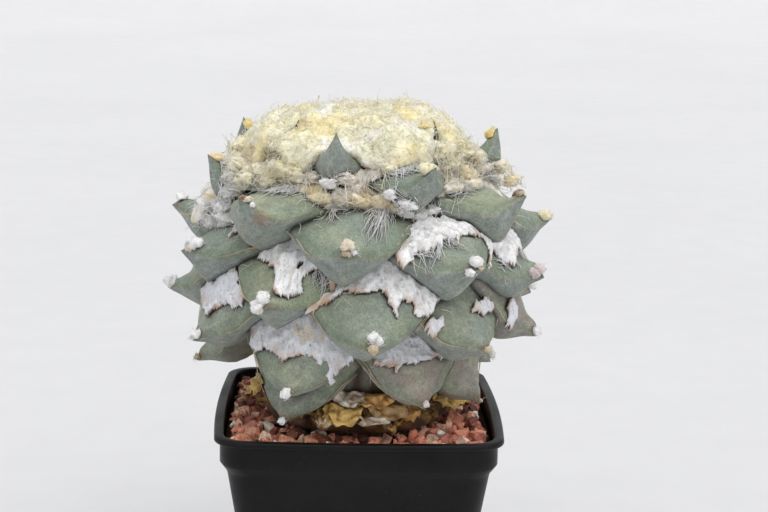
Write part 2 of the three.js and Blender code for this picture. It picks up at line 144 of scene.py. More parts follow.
# Old wool mats on the upper faces, by tubercle: closed outlines of [distance across in mm, step along]
MATS = {
    7: [[-12.2, 0.31], [-10.4, 0.36], [-6.6, 0.42], [-3.4, 0.51], [-1.4, 0.57], [-1.2, 0.66], [-0.2, 0.74],
        [2.8, 0.78], [5.2, 0.76], [7.2, 0.71], [9.2, 0.66], [7.6, 0.58], [7, 0.52], [7.8, 0.45], [9.4, 0.4],
        [12.2, 0.38], [14.8, 0.43], [16.2, 0.49], [17.5, 0.42], [15.2, 0.3], [12.4, 0.2], [7, 0.1],
        [-4.8, 0.08], [-12, 0.15]],
    4: [[-20, 0.38], [-18, 0.5], [-14, 0.5], [-11.6, 0.52], [-6.6, 0.53], [-7.4, 0.64], [-6.4, 0.6],
        [-4.6, 0.52], [-2.6, 0.51], [-1.2, 0.55], [-1.8, 0.68], [0.4, 0.55], [3, 0.5], [9.8, 0.46],
        [13, 0.46], [14.6, 0.53], [12.2, 0.63], [9.8, 0.73], [11, 0.74], [13, 0.62], [17.2, 0.48],
        [20, 0.34], [17.4, 0.2], [1.4, 0.2], [-12.6, 0.2], [-20, 0.25]],
    11: [[-20, 0.4], [-18.4, 0.4], [-13.2, 0.38], [-10, 0.32], [-6.6, 0.32], [-4.4, 0.37], [-2.2, 0.35],
        [0.4, 0.33], [1.8, 0.36], [2.8, 0.4], [4, 0.48], [5.8, 0.52], [6.8, 0.6], [7.8, 0.57], [7.4, 0.49],
        [8.6, 0.42], [10.4, 0.4], [12.2, 0.41], [12.2, 0.48], [13, 0.51], [15.2, 0.48], [18, 0.42],
        [21.6, 0.26], [20, 0], [0, -0.05], [-20, 0.1]],
    18: [[-19, 0.36], [-17.8, 0.4], [-14.6, 0.5], [-11.2, 0.48], [-8, 0.53], [-5.6, 0.58], [-3.6, 0.61],
        [-1.4, 0.58], [1.8, 0.54], [4.8, 0.54], [6.4, 0.59], [8, 0.61], [9.2, 0.56], [10.8, 0.57],
        [10.4, 0.64], [11.4, 0.7], [12.8, 0.68], [13.4, 0.6], [14.6, 0.54], [17.6, 0.43], [19.5, 0.36],
        [19, 0.1], [0, 0], [-19, 0.1]],
    22: [[-14.5, 0.4], [-13.4, 0.45], [-11.2, 0.47], [-9.4, 0.5], [-8.6, 0.57], [-7.4, 0.58], [-6.6, 0.53],
        [-4.2, 0.53], [-0.8, 0.51], [3, 0.5], [8.8, 0.47], [9.5, 0.44], [4, 0.36], [0, 0.1], [-10, 0.05],
        [-14, 0.25]],
    14: [[-16, 0.46], [-9, 0.6], [-4, 0.66], [0.4, 0.73], [1.2, 0.64], [4.6, 0.55], [7.6, 0.49],
        [10.8, 0.48], [13, 0.43], [13, 0.36], [5.6, 0.2], [0, 0.05], [-14, 0.1]],
    15: [[-1, 0.5], [0.6, 0.53], [2.8, 0.58], [5, 0.58], [7.8, 0.54], [13, 0.5], [18.6, 0.42], [17, 0.36],
        [9, 0.4], [4.4, 0.43], [0.2, 0.46]],
    8: [[-12, 0.4], [-11.2, 0.52], [-10.4, 0.6], [-6.6, 0.7], [-3, 0.66], [2, 0.62], [5.6, 0.64], [9, 0.5],
        [10, 0.3], [0, 0.05], [-11, 0.15]],
    19: [[-13, 0.5], [-12.8, 0.63], [-9.6, 0.71], [-7, 0.68], [-8, 0.55], [-10, 0.4]],
}
THICK_MATS = {4: 0.5, 8: 1.8, 7: 0.3}
GREY_MATS = (14, 18, 22, 15, 19)
SLITS = {7: (4.6, 0.41)}
BEIGE_PLACES = {18: (2, 0.31), 11: (-15, 0.36), 15: (-1, 0.48), 14: (-9, 0.58)}
BARE_OF_MATS = (10, 25, 26)
FIRST_MAT = 3

# Wool quilts in the axils, by tubercle: [from and to across in mm, steps they reach on both sides, thickness]
QUILTS = {
    -14: [-9, 9, 0.25, 0.25, 3], -12: [-11, 11, 0.4, 0.5, 4], -11: [-12, 12, 0.3, 0.3, 3.5],
    -10: [-12, 12, 0.3, 0.3, 4], -9: [-12, 12, 0.3, 0.3, 4], -8: [-9, 14, 0.5, 0.8, 4],
    -7: [-15, 12, 0.4, 0.34, 3], -6: [-15, 15, 0.4, 0.4, 4.5], -5: [-15, 15, 0.26, 0.26, 5],
    -4: [-15, 15, 0.16, 0.3, 5.5], -3: [-16, 14, 0.26, 0.2, 6], -2: [-16, 16, 0.2, 0.2, 5],
    -1: [-9, 18, 0.4, 0.7, 4.5], 0: [-15, 15, 0.26, 0.14, 6], 1: [-17, 14, 0.4, 0.3, 5],
    2: [-16, 16, 0.22, 0.22, 4.5], 3: [-8, 19, 0.2, 0.4, 4],
}
QUILT_FIBRES = 2100
GOLDEN_QUILTS = {0: 0.4, -4: 0.1, -11: 0.3, -7: 0.3, -3: 0.2}

# Puffs of loose wool among the young tubercles: [degrees from the front, distance out, height, radius, tone]
PUFFS = [
    [-15, 42, 160, 2.2, "white"], [-25, 36.5, 160, 3, "beige"], [-8, 38.5, 160.5, 3, "beige"],
    [-18, 40.5, 155, 3, "amber"], [-10, 39, 156, 3.5, "beige"], [-2, 39, 154.5, 3.5, "amber"],
    [7, 39, 154, 3, "amber"], [14, 40, 152.5, 2.6, "amber"], [10, 43.5, 157, 2.2, "white"],
    [17, 45.5, 154.5, 2.4, "white"], [24, 40.5, 150, 2.6, "white"], [31, 40, 151, 2.2, "white"],
    [-4, 37.5, 158, 3, "beige"], [-35, 36, 160.5, 3.5, "yellow"], [-42, 38, 162, 4, "yellow"],
    [-57, 38.5, 160, 4, "cream"], [-60, 42.5, 157.5, 4, "cream"], [-68, 44, 153.5, 3.6, "white"],
    [-75, 45.5, 147.5, 4, "white"], [-82, 48.5, 142.5, 3.6, "white"], [-70, 46, 144, 3.2, "white"],
    [-80, 41, 161.5, 3.5, "cream"], [-86, 39, 165.5, 3.5, "yellow"], [-67, 44.5, 157.5, 3.2, "white"],
    [-68, 42.5, 161.5, 3.2, "cream"], [53, 33, 163.5, 3.5, "yellow"], [63, 36, 159.5, 3.5, "amber"],
    [80, 38.5, 160, 3.5, "beige"], [85, 43.5, 156.5, 2.6, "white"], [88, 48, 155.5, 2.6, "amber"],
    [88, 44, 159.5, 3, "cream"], [45, 38, 157, 3, "beige"], [61, 39.5, 156.5, 2.8, "cream"],
    [50, 32, 167.5, 4, "yellow"], [76, 33, 166, 4, "yellow"], [79, 37, 163.5, 3.5, "cream"],
    [12, 36, 163.5, 2, "cream"], [-83, 50, 147, 3, "white"], [-47, 40, 157.5, 2.6, "cream"],
    [46, 26.7, 174.5, 2.2, "golden"],
]
BACK_PUFFS = range(100, 262, 13)
PUFF_FIBRES = 3900

# Lumps of wool at an areole: [step along, millimetres across, radius in mm, tone]
AREOLES = {
    -4: [[0.9, 1.2, 1.3, "beige"], [0.86, 2.8, 0.9, "white"], [0.95, 0.4, 1.0, "brown"]],
    -3: [[0.87, 1.6, 1.5, "brown"], [0.92, 0.2, 1.2, "ochre"]],
    -7: [[0.85, -0.8, 2.2, "cream"]], -8: [[0.88, -1, 2.0, "peach"]], -11: [[0.8, 0, 1.0, "golden"]],
    0: [[0.9, -0.8, 2.1, "beige"], [0.95, -0.6, 1.2, "ochre"], [0.92, 1.2, 1.0, "white"]],
    1: [[0.93, -1, 2.0, "cream"], [0.96, -0.2, 1.4, "beige"]],
    3: [[0.86, 1.8, 2.3, "white"], [0.91, 1.2, 1.4, "beige"]],
    4: [[0.92, -2.6, 1.4, "white"], [0.93, -0.6, 1.8, "white"], [0.975, 0.4, 0.9, "ochre"]],
    7: [[0.87, -1.3, 2.0, "white"], [0.92, -1.7, 2.3, "white"], [0.97, -1.2, 1.4, "beige"]],
    8: [[0.89, -2.4, 1.7, "pink"], [0.92, -0.8, 1.7, "pink"]],
    11: [[0.85, -0.6, 1.8, "white"], [0.88, 0.8, 1.6, "white"], [0.96, -0.2, 1.7, "ochre"]],
    14: [[0.93, 1, 1.5, "white"], [0.97, 0, 1.1, "white"]], 15: [[0.96, -0.6, 1.0, "ochre"]],
    18: [[0.95, 0.2, 1.55, "white"]], 19: [[0.95, -0.6, 1.3, "white"]], 21: [[0.96, 0.3, 1.1, "ochre"]],
    22: [[0.95, 0, 1.0, "pink"]], 25: [[0.97, 0, 1.1, "white"]], 26: [[0.97, 0, 0.6, "ochre"]],
}
TONES = {
    "white": (248, 246, 244), "cream": (252, 240, 204), "golden": (246, 218, 148), "beige": (226, 214, 194),
    "yellow": (255, 240, 196), "amber": (252, 228, 178), "peach": (246, 222, 182), "brown": (146, 118, 94),
    "ochre": (200, 184, 156), "pink": (218, 204, 202),
}
AREOLE_FIBRES = 1950

# Lumps of white felt in the front axils: [tubercle, step along, across, lift and radius in mm]
FELT_LUMPS = [
    [-4, 0.08, 11, 3.5, 3], [-4, 0.02, 13, 4.5, 2.4], [0, 0.06, 12.2, 3.5, 3], [0, 0.15, 14.8, 2, 2.8],
    [0, 0.02, 9.5, 4.5, 2.2], [-3, 0.15, 8, 4.6, 3], [-3, 0.2, 10.5, 3, 2.2],
]
# One tubercle has a second mat beside its first.
EXTRA_MATS = [
    [15, [[-16.8, 0.44], [-14.2, 0.42], [-11, 0.45], [-10.8, 0.56], [-13, 0.6], [-15, 0.56], [-16.5, 0.5]]],
]

# Strands that hang over an upper face: [tubercle, middle across, half spread, from step, to step, fibres]
STRANDS = [
    [0, 5.5, 4, 0.05, 0.78, 50], [0, 12, 3, 0.08, 0.45, 20], [0, -7, 0.8, 0.1, 0.42, 14],
    [0, 0, 14, -0.04, 0.26, 110], [-4, -2, 11, 0.08, 0.42, 190], [-4, -2, 0.5, 0.15, 0.55, 14],
    [-4, 1.5, 0.5, 0.15, 0.5, 14], [-3, -2, 14, 0.08, 0.46, 190], [-7, -2, 11, 0.25, 0.6, 130],
    [4, -8, 10, 0.36, 0.62, 70], [4, -7, 0.8, 0.5, 0.68, 12], [4, -2, 0.8, 0.5, 0.7, 12],
    [7, 12, 4, 0.3, 0.55, 30], [3, 4, 14, 0.0, 0.45, 70], [1, -5, 10, 0.0, 0.5, 70],
    [-1, 4, 12, 0.1, 0.75, 130], [-8, 2, 10, 0.1, 0.65, 90], [8, -4, 9, 0.5, 0.75, 30],
    [-2, 0, 14, 0, 0.4, 60], [2, 0, 14, 0, 0.4, 50], [-5, 0, 12, 0, 0.4, 60], [-6, 0, 12, 0, 0.5, 60],
]
DRY_EDGES = (203, 184, 150)

# Dried flaps at the neck: [middle and half width in degrees, inner and outer radius, top, bottom, tone]
FLAPS = [
    [-9, 12, 29, 37.5, 88.5, 83.2, "ochre"], [16, 11, 30, 37, 89, 84.2, "olive"],
    [-6, 8, 30, 33.5, 92.5, 88.5, "pale"], [9, 9, 30, 34, 92, 87.5, "orange"],
    [7, 7, 34, 38, 85.5, 83.4, "pale"], [-38, 7, 30, 35, 85.5, 82, "olive"],
    [31, 6, 29, 33, 86.5, 82.4, "orange"],
]
FLAP_TONES = {
    "ochre": (255, 216, 132), "olive": (212, 178, 126), "pale": (244, 236, 218), "orange": (242, 190, 116),
}

CREAM = (255, 250, 228)
GOLDEN = (255, 230, 168)
WHITE_WOOL = (252, 251, 250)
BEIGE = (246, 236, 216)


def linear(colour):
    """The linear value of an sRGB colour given as 0 to 255."""
    c = np.asarray(colour, float) / 255
    return np.where(c <= 0.04045, c / 12.92, ((c + 0.055) / 1.055) ** 2.4)


def along(pairs, x):
    """A smooth curve through [x, y] pairs, flat beyond its ends."""
    last = len(pairs) - 1
    if x <= pairs[0][0]:
        return pairs[0][1]
    if x >= pairs[last][0]:
        return pairs[last][1]
    i = next(k for k in range(last) if pairs[k][0] <= x < pairs[k + 1][0])

    def slope(k):
        before, after = pairs[max(k - 1, 0)], pairs[min(k + 1, last)]
        return (after[1] - before[1]) / (after[0] - before[0])

    span = pairs[i + 1][0] - pairs[i][0]
    t = (x - pairs[i][0]) / span
    return (pairs[i][1] * (1 + 2 * t) * (1 - t) ** 2 + slope(i) * span * t * (1 - t) ** 2
            + pairs[i + 1][1] * t ** 2 * (3 - 2 * t) + slope(i + 1) * span * t ** 2 * (t - 1))


def smooth(low, high, x):
    t = np.clip((np.asarray(x, float) - low) / (high - low), 0, 1)
    return t * t * (3 - 2 * t)


def unit(vectors):
    return vectors / np.maximum(np.linalg.norm(vectors, axis=-1, keepdims=True), 1e-9)


def ripple(points, size, seed, waves=14):
    """A smooth random field over points, about -1 to 1, with bumps about size mm apart."""
    rng = np.random.default_rng(seed)
    directions = unit(rng.normal(size=(waves, 3)))
    lengths = size * rng.uniform(0.6, 1.6, waves)
    phases = rng.uniform(0, 2 * np.pi, waves)
    field = np.sin(points @ (directions / lengths[:, None] * 2 * np.pi).T + phases)
    return field.sum(-1) / math.sqrt(waves / 1.3)


def circle(steps):
    """Angles of evenly spaced steps round a full turn."""
    return 2 * np.pi * np.arange(steps) / steps


def search_tree(points):
    tree = KDTree(len(points))
    for k, point in enumerate(points):
        tree.insert(point, k)
    tree.balance()
    return tree


def blend(colours, other, weight):
    """Takes linear colours in place towards another, given as 0 to 255, by a weight for each."""
    weight = np.clip(np.asarray(weight, float), 0, 1)[:, None]
    colours[:] = colours * (1 - weight) + linear(other) * weight


def lean(points):
    """Tips points over sideways with the plant, which leans from its neck up."""
    points[..., 0] += LEAN * np.maximum(points[..., 2] - LEAN_FROM, 0)
    rising = np.clip((points[..., 2] - LEAN_FROM) / (LEAN_FULL - LEAN_FROM), 0, 1)
    points[..., 2] -= LEAN * points[..., 0] * rising
    return points


# Meshes
def add_mesh(name, points, quads=(), triangles=(), colours=None, smoothed=True):
    """An object from arrays in millimetres, with a colour for each point."""
    quads = np.asarray(quads, np.int32).reshape(-1, 4)
    triangles = np.asarray(triangles, np.int32).reshape(-1, 3)
    mesh = bpy.data.meshes.new(name)
    corners = np.concatenate([quads.ravel(), triangles.ravel()])
    starts = np.concatenate([np.arange(len(quads)) * 4, len(quads) * 4 + np.arange(len(triangles)) * 3])
    mesh.vertices.add(len(points))
    mesh.vertices.foreach_set("co", (np.asarray(points, np.float32) * MM).ravel())
    mesh.loops.add(len(corners))
    mesh.loops.foreach_set("vertex_index", corners.astype(np.int32))
    mesh.polygons.add(len(starts))
    mesh.polygons.foreach_set("loop_start", starts.astype(np.int32))
    mesh.update(calc_edges=True)
    mesh.polygons.foreach_set("use_smooth", np.full(len(starts), smoothed))
    if colours is not None:
        paint(mesh, colours)
    thing = bpy.data.objects.new(name, mesh)
    bpy.context.scene.collection.objects.link(thing)
    return thing


def paint(mesh, colours):
    layer = mesh.attributes.new("tint", "FLOAT_COLOR", "POINT")
    values = np.ones((len(mesh.vertices), 4), np.float32)
    values[:, :3] = colours
    layer.data.foreach_set("color", values.ravel())


def coordinates(mesh):
    points = np.empty(len(mesh.vertices) * 3, np.float32)
    mesh.vertices.foreach_get("co", points)
    return points.reshape(-1, 3).astype(float) / MM


def tube_faces(rings, around):
    """Quads between closed rings of points, and the triangles that close both ends on two last points."""
    ring = np.arange(rings - 1)[:, None] * around
    k = np.arange(around)[None, :]
    after = (k + 1) % around
    quads = np.stack([ring + k, ring + after, ring + around + after, ring + around + k], -1).reshape(-1, 4)
    first, last = rings * around, rings * around + 1
    k, after = k[0], after[0]
    top = (rings - 1) * around
    fans = np.concatenate([
        np.stack([np.full(around, first), after, k], -1),
        np.stack([np.full(around, last), top + k, top + after], -1),
    ])
    return quads, fans


def add_tube(name, rings, smoothed=True):
    """A closed skin over rings, an array of rings by points by 3."""
    count, around = rings.shape[:2]
    points = np.concatenate([rings.reshape(-1, 3), [rings[0].mean(0)], [rings[-1].mean(0)]])
    quads, fans = tube_faces(count, around)
    return add_mesh(name, points, quads, fans, smoothed=smoothed)


def combined(base, others, operation="UNION"):
    """Joins or cuts closed meshes into base."""
    for other in others:
        step = base.modifiers.new("combine", "BOOLEAN")
        step.operation = operation
        step.solver = "MANIFOLD"
        step.object = other
    depsgraph = bpy.context.evaluated_depsgraph_get()
    mesh = bpy.data.meshes.new_from_object(base.evaluated_get(depsgraph))
    base.modifiers.clear()
    old = base.data
    base.data = mesh
    bpy.data.meshes.remove(old)
    for other in others:
        bpy.data.objects.remove(other)
    mesh.polygons.foreach_set("use_smooth", np.full(len(mesh.polygons), True))
    return base


def slab_below(height):
    """A large block whose top is at that height."""
    wide = 200
    ring = np.array([[-wide, -wide], [wide, -wide], [wide, wide], [-wide, wide]], float)
    rings = np.array([[[x, y, z] for x, y in ring] for z in (-300, height)], float)
    return add_tube("cutter", rings, smoothed=False)


# Tubercles
def crowned(edge, face, q):
    """The upper face's height at q across, from the heights of its edges and of its middle."""
    return edge + (face - edge) * (1 - np.abs(q) ** FACE_ROUNDNESS)


def rounded(rings):
    """Values round closed rings, smoothed at the corners."""
    for _ in range(2):
        rings = (np.roll(rings, 1, 1) + 2 * rings + np.roll(rings, -1, 1)) / 4
    return rings


class Tubercle:
    """Tubercle number n: its frame and its sizes, by the rule that the whole plant follows."""

    def __init__(self, n):
        self.n = n
        self.dried = n >= DRIED_FROM
        self.power = along(WIDTH_POWER, n)
        self.upturn = float(smooth(LAST_DOWNTURNED, FIRST_UPTURNED, n))
        if self.dried:
            after = n - DRIED_FROM
            rise = DRIED_RISE
            radius = DRIED_RADIUS - DRIED_RADIUS_STEP * after
            height = DRIED_HEIGHT - DRIED_HEIGHT_STEP * after
            if n not in FRONT_DRIED:
                radius -= SHORTER_BEHIND
            self.length, self.half_width, self.keel = DRIED_LENGTH, DRIED_HALF_WIDTH, DRIED_KEEL
            self.crown, self.sag, self.drop = DRIED_CROWN, 0, 0
        else:
            rise = along(RISE, n) + RISE_NUDGE.get(n, 0)
            radius = along(TIP_RADIUS, n) + RADIUS_NUDGE.get(n, 0)
            height = along(TIP_HEIGHT, n) + HEIGHT_NUDGE.get(n, 0)
            sizes = (LENGTH, HALF_WIDTH, KEEL_DEPTH, FACE_CROWN)
            self.length, self.half_width, self.keel, self.crown = (along(pairs, n) for pairs in sizes)
            self.sag = SAG
            self.drop = along(EDGE_DROP, n) + DROP_NUDGE.get(n, 0)
        angle = math.radians(FIRST_ANGLE + DIVERGENCE * n + ANGLE_NUDGE.get(n, 0))
        rise = math.radians(rise)
        radial = np.array([math.sin(angle), -math.cos(angle), 0])
        upward = np.array([0, 0, 1.0])
        self.tip = lean(radial * radius + upward * height)
        self.out = radial * math.cos(rise) + upward * math.sin(rise)
        self.side = np.array([math.cos(angle), math.sin(angle), 0])
        self.up = upward * math.cos(rise) - radial * math.sin(rise)

    def sizes(self, t):
        """Half width, and the heights of the face, its edges and the keel's depth at step t."""
        inner = np.maximum(t, 0)
        sag = self.sag * np.sin(np.pi * smooth(0.4, 1, t))
        nose = self.drop * smooth(0.84, 1.03, t) * (1 - self.upturn)
        lowered = self.drop * smooth(0.05, 0.65, t) * (1 - self.upturn * smooth(0.7, 1, t))
        width = self.half_width * (1 - inner ** self.power) * (1 - 0.4 * smooth(0.7, 0.95, t))
        face = self.crown * (1 - inner) ** 1.6 - sag - nose
        edge = 1.5 * (1 - inner) - sag - lowered
        keel = self.keel * (1 - inner ** 2.9) + sag + nose
        return width, face, edge, keel

    def place(self, t, across, height):
        t, across, height = (np.asarray(x, float)[..., None] for x in np.broadcast_arrays(t, across, height))
        return (self.tip + self.out * (t - 1) * self.length
                + self.side * (across + SKEW * height) + self.up * height)

    def face(self, t, q, lift=0.0):
        """Points on the upper face, q from -1 to 1 across it, standing off by lift."""
        width, face, edge, _ = self.sizes(t)
        q = np.clip(q, -MOST_ACROSS, MOST_ACROSS)
        return self.place(t, q * width, crowned(edge, face, q) + lift)

    def face_at(self, t, across, lift=0.0):
        """The same, with the distance across in millimetres."""
        width = np.maximum(self.sizes(t)[0], 0.5)
        return self.face(t, across / width, lift)

    def local(self, points):
        """Steps along, distances across and heights of points in this tubercle's frame."""
        d = points - self.tip
        height = d @ self.up
        return d @ self.out / self.length + 1, d @ self.side - SKEW * height, height


TUBERCLES = {n: Tubercle(n) for n in range(YOUNGEST, DRIED_TO + 1)}


def pleats(q, n):
    """The dried tubercles' pleats across q, each number's at its own places."""
    return np.cos(q * PLEATS + 2.5 * np.sin(n))


def tubercle_rings(tub, rings, half):
    """Rings of a tubercle's skin, and each point's t, q, and 1 on the upper face or 0 on the keel's sides."""
    s = np.linspace(0, 1, rings)
    t = (-0.3 + 1.3 * (1 - (1 - s) ** 1.45))[:, None]
    t[-1] = TIP_STEP
    flank = half // 2
    q_up = np.cos(np.pi * np.arange(half) / half)
    q_left = -(1 + np.cos(np.pi * np.arange(flank) / flank)) / 2
    q_right = (1 - np.cos(np.pi * np.arange(flank) / flank)) / 2
    q = np.concatenate([q_up, q_left, q_right])
    upper = np.concatenate([np.ones(half), np.zeros(2 * flank)])
    width, face, edge, keel = tub.sizes(t)
    low = edge - (keel + edge) * np.maximum(1 - np.abs(q), 0) ** FLANK_ROUNDNESS
    height = rounded(np.where(upper > 0, crowned(edge, face, q), low))
    points = tub.place(t, rounded(q * width * np.ones_like(t)), height)
    fade = np.minimum(1, (1 - t) * 3)
    bulge = (0.45 * ripple(points, 11, 40 + tub.n) + 0.14 * ripple(points, 3.2, 90 + tub.n)) * fade
    points += tub.up * (bulge * np.where(upper > 0, 1.0, -0.6))[..., None]
    edgewise = 0.35 * ripple(points, 8, 140 + tub.n) * np.sign(q) * np.abs(q) ** 3 * fade
    points += tub.side * edgewise[..., None]
    if tub.dried:
        pleat = pleats(q, tub.n) * smooth(-0.1, 0.7, t) * smooth(1.0, 0.9, t)
        points += tub.up * (0.7 * pleat + 0.8 * ripple(points, 6, 180) * smooth(0, 0.5, t))[..., None]
    return points, np.stack(np.broadcast_arrays(t, q, upper), -1)


def turned(name, profile, around):
    """A turned closed mesh from [radius, height] pairs that go down."""
    rings = [[[r * math.cos(a), r * math.sin(a), z] for a in circle(around)] for r, z in profile[::-1]]
    return add_tube(name, lean(np.array(rings)))


def skin_colours(numbers, marks, points, away):
    """The skin's colour: paler faces, greyer sides below that are lightened as painted light bounced from
    beneath, dry brown tips, pinkish old tubercles, and painted shade, dark brown, on the core deep between the
    tubercles.
    """
    t, q, upper = marks.T
    below = 1 - upper
    age = smooth(4, 24, numbers)
    youth = smooth(-3, -14, numbers)
    blemish = np.linalg.norm(points - TUBERCLES[-4].place(0.75, 5.0, -5.0), axis=1)
    near_edge = smooth(0.96, 1.0, np.abs(q)) * 0.6
    near_keel = below * smooth(0.1, 0.0, np.abs(q)) * 0.8
    layers = [
        ((150, 147, 132), age * 0.5),
        ((158, 163, 136), np.isin(numbers, (-4, 7, -3)) * 0.75),
        ((150, 138, 130), np.isin(numbers, (19, 22, 26)) * 0.8),
        ((158, 163, 136), 0.5 * smooth(-0.2, 1.1, ripple(points, 14, 5))),
        ((124, 138, 132), 0.4 * upper * smooth(0.1, 1.3, ripple(points, 11, 10))),
        ((100, 122, 100), youth * 0.45 * smooth(0.3, 0.8, t)),
        # Greyer keel sides, their tone lightened: partly painted light bounced up from below.
        ((142, 150, 145), below * (0.85 - 0.45 * age)),
        ((104, 120, 98), 0.45 * upper * smooth(0.5, 0.85, np.abs(q)) * smooth(0.1, 0.4, t)),
        ((176, 182, 180), 0.5 * below * smooth(1.1, 1.6, ripple(points, 1.5, 8))),
        ((132, 112, 92), 0.35 * smooth(0.5, 1.5, ripple(points, 7, 9)) * below * age),
        ((140, 88, 64), 0.55 * smooth(3.5, 1, blemish)),
        ((170, 160, 122), 0.4 * np.maximum(near_edge, near_keel) * smooth(0.15, 0.5, t)),
        ((120, 92, 68), 0.55 * smooth(0.83, 0.93, t) * smooth(0.99, 0.93, t) * upper),
        ((104, 118, 88), 0.6 * smooth(0.94, 1.0, t)),
        # Painted shade: the core, far from every tubercle, goes dark brown in the hollows between them.
        ((74, 60, 42), smooth(1.0, 3.0, away)),
    ]
    colour = np.tile(linear((141, 152, 138)), (len(points), 1))
    for other, weight in layers:
        blend(colour, other, weight)
    colour *= (1 + 0.07 * ripple(points, 5, 6) + 0.04 * ripple(points, 1.6, 7))[:, None]
    return np.clip(colour, 0.01, 1)


def grown(name, numbers, rings, half, core, colours, cut):
    """Tubercles grown together with a core into one closed skin, cut flat below a height and coloured."""
    pieces, sources, marks, owners = [], [], [], []
    for n in numbers:
        points, mark = tubercle_rings(TUBERCLES[n], rings, half)
        pieces.append(add_tube("tubercle", points[:, ::-1]))
        sources.append(points.reshape(-1, 3))
        marks.append(mark.reshape(-1, 3))
        owners.append(np.full(len(sources[-1]), n))
    sources, marks, owners = np.concatenate(sources), np.concatenate(marks), np.concatenate(owners)
    body = combined(core, pieces)
    combined(body, [slab_below(cut)], "DIFFERENCE")
    tree = search_tree(sources)
    points = coordinates(body.data)
    found = [tree.find(p) for p in points]
    nearest = np.array([hit[1] for hit in found])
    away = np.array([hit[2] for hit in found])
    body.name = name
    body.data.name = name
    paint(body.data, colours(owners[nearest], marks[nearest], points, away))
    return body


# Materials
def new_material(name):
    material = bpy.data.materials.new(name)
    material.use_nodes = True
    tree = material.node_tree
    return material, tree.nodes, tree.links, tree.nodes["Principled BSDF"]


def plain_colour(nodes, colour):
    plain = nodes.new("ShaderNodeRGB")
    plain.outputs[0].default_value = (*linear(colour), 1)
    return plain.outputs[0]


def map_range(nodes, links, value, span, reach=(0, 1)):
    """A value taken from one span to another, and kept in it."""
    ramp = nodes.new("ShaderNodeMapRange")
    ramp.inputs["From Min"].default_value, ramp.inputs["From Max"].default_value = span
    ramp.inputs["To Min"].default_value, ramp.inputs["To Max"].default_value = reach
    links.new(value, ramp.inputs["Value"])
    return ramp.outputs["Result"]


def mixed(nodes, links, factor, first, second):
    """A colour from first to second by a factor, each an output or given as 0 to 255."""
    mix = nodes.new("ShaderNodeMix")
    mix.data_type = "RGBA"
    links.new(factor, mix.inputs["Factor"])
    for socket, colour in (("A", first), ("B", second)):
        if isinstance(colour, tuple):
            mix.inputs[socket].default_value = (*linear(colour), 1)
        else:
            links.new(colour, mix.inputs[socket])
    return mix.outputs["Result"]


def noise_node(nodes, links, scale, detail):
    """A noise texture in object coordinates. Scale is in features a metre."""
    coordinate = nodes.new("ShaderNodeTexCoord")
    texture = nodes.new("ShaderNodeTexNoise")
    texture.inputs["Scale"].default_value = scale
    texture.inputs["Detail"].default_value = detail
    links.new(coordinate.outputs["Object"], texture.inputs["Vector"])
    return texture.outputs["Fac"]


def tinted(nodes, links, base, fac, low, high):
    """Base colour times a factor that goes from low to high with fac."""
    scale = nodes.new("ShaderNodeVectorMath")
    scale.operation = "SCALE"
    links.new(base, scale.inputs[0])
    links.new(map_range(nodes, links, fac, (0.35, 0.65), (low, high)), scale.inputs["Scale"])
    return scale.outputs["Vector"]


def add_bump(nodes, links, bsdf, layers):
    """Bump from (height, depth in mm) layers, one over the other."""
    normal = None
    for fac, depth in layers:
        bump = nodes.new("ShaderNodeBump")
        bump.inputs["Strength"].default_value = 1.0
        bump.inputs["Distance"].default_value = depth * MM
        links.new(fac, bump.inputs["Height"])
        if normal is not None:
            links.new(normal, bump.inputs["Normal"])
        normal = bump.outputs["Normal"]
    links.new(normal, bsdf.inputs["Normal"])


def vary_roughness(nodes, links, bsdf, fac, low, high):
    links.new(map_range(nodes, links, fac, (0.3, 0.7), (low, high)), bsdf.inputs["Roughness"])


def tint_output(nodes):
    attribute = nodes.new("ShaderNodeAttribute")
    attribute.attribute_name = "tint"
    return attribute.outputs["Color"]


def darker_seams(nodes, links, colour, reach):
    """Paints a brown shadow into a colour, by ambient occlusion, in seams closer than reach millimetres."""
    occlusion = nodes.new("ShaderNodeAmbientOcclusion")
    occlusion.samples = 6
    occlusion.inputs["Distance"].default_value = reach * MM
    openness = map_range(nodes, links, occlusion.outputs["AO"], (0.38, 0.8))
    return mixed(nodes, links, openness, (38, 34, 26), colour)


def surface(name, patches, fine, bumps, roughness, sheen=0.0, specular=0.5, base=None, glow=0.0, seam_shadow=0.0):
    """A material whose colour is the mesh's own tint, or one base colour, times two sizes of noise.

    patches and fine are (scale a metre, lowest factor, highest factor), bumps are (scale, depth in mm), glow is
    the weight of light that passes under the surface, and the last argument is the reach in mm of a painted
    shadow that darkens the colour in seams."""
    material, nodes, links, bsdf = new_material(name)
    colour = plain_colour(nodes, base) if base else tint_output(nodes)
    for scale, low, high in (patches, fine):
        colour = tinted(nodes, links, colour, noise_node(nodes, links, scale, 5), low, high)
    # Painted shadow: the colour goes dark brown in seams and crevices.
    if seam_shadow:
        colour = darker_seams(nodes, links, colour, seam_shadow)
    links.new(colour, bsdf.inputs["Base Color"])
    add_bump(nodes, links, bsdf, [(noise_node(nodes, links, scale, 6), depth) for scale, depth in bumps])
    vary_roughness(nodes, links, bsdf, noise_node(nodes, links, patches[0] * 1.7, 3), *roughness)
    bsdf.inputs["Specular IOR Level"].default_value = specular
    if glow:
        bsdf.inputs["Subsurface Weight"].default_value = glow
        bsdf.inputs["Subsurface Radius"].default_value = (1.0, 0.9, 0.75)
        bsdf.inputs["Subsurface Scale"].default_value = 2 * MM
    if sheen:
        bsdf.inputs["Sheen Weight"].default_value = sheen
        bsdf.inputs["Sheen Roughness"].default_value = 0.5
    return material


def finish_piece(piece, slot, material, *nodes):
    piece.data.materials.clear()
    piece.data.materials.append(material)
    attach(piece, "root")
    if nodes:
        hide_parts(*nodes)
    return piece


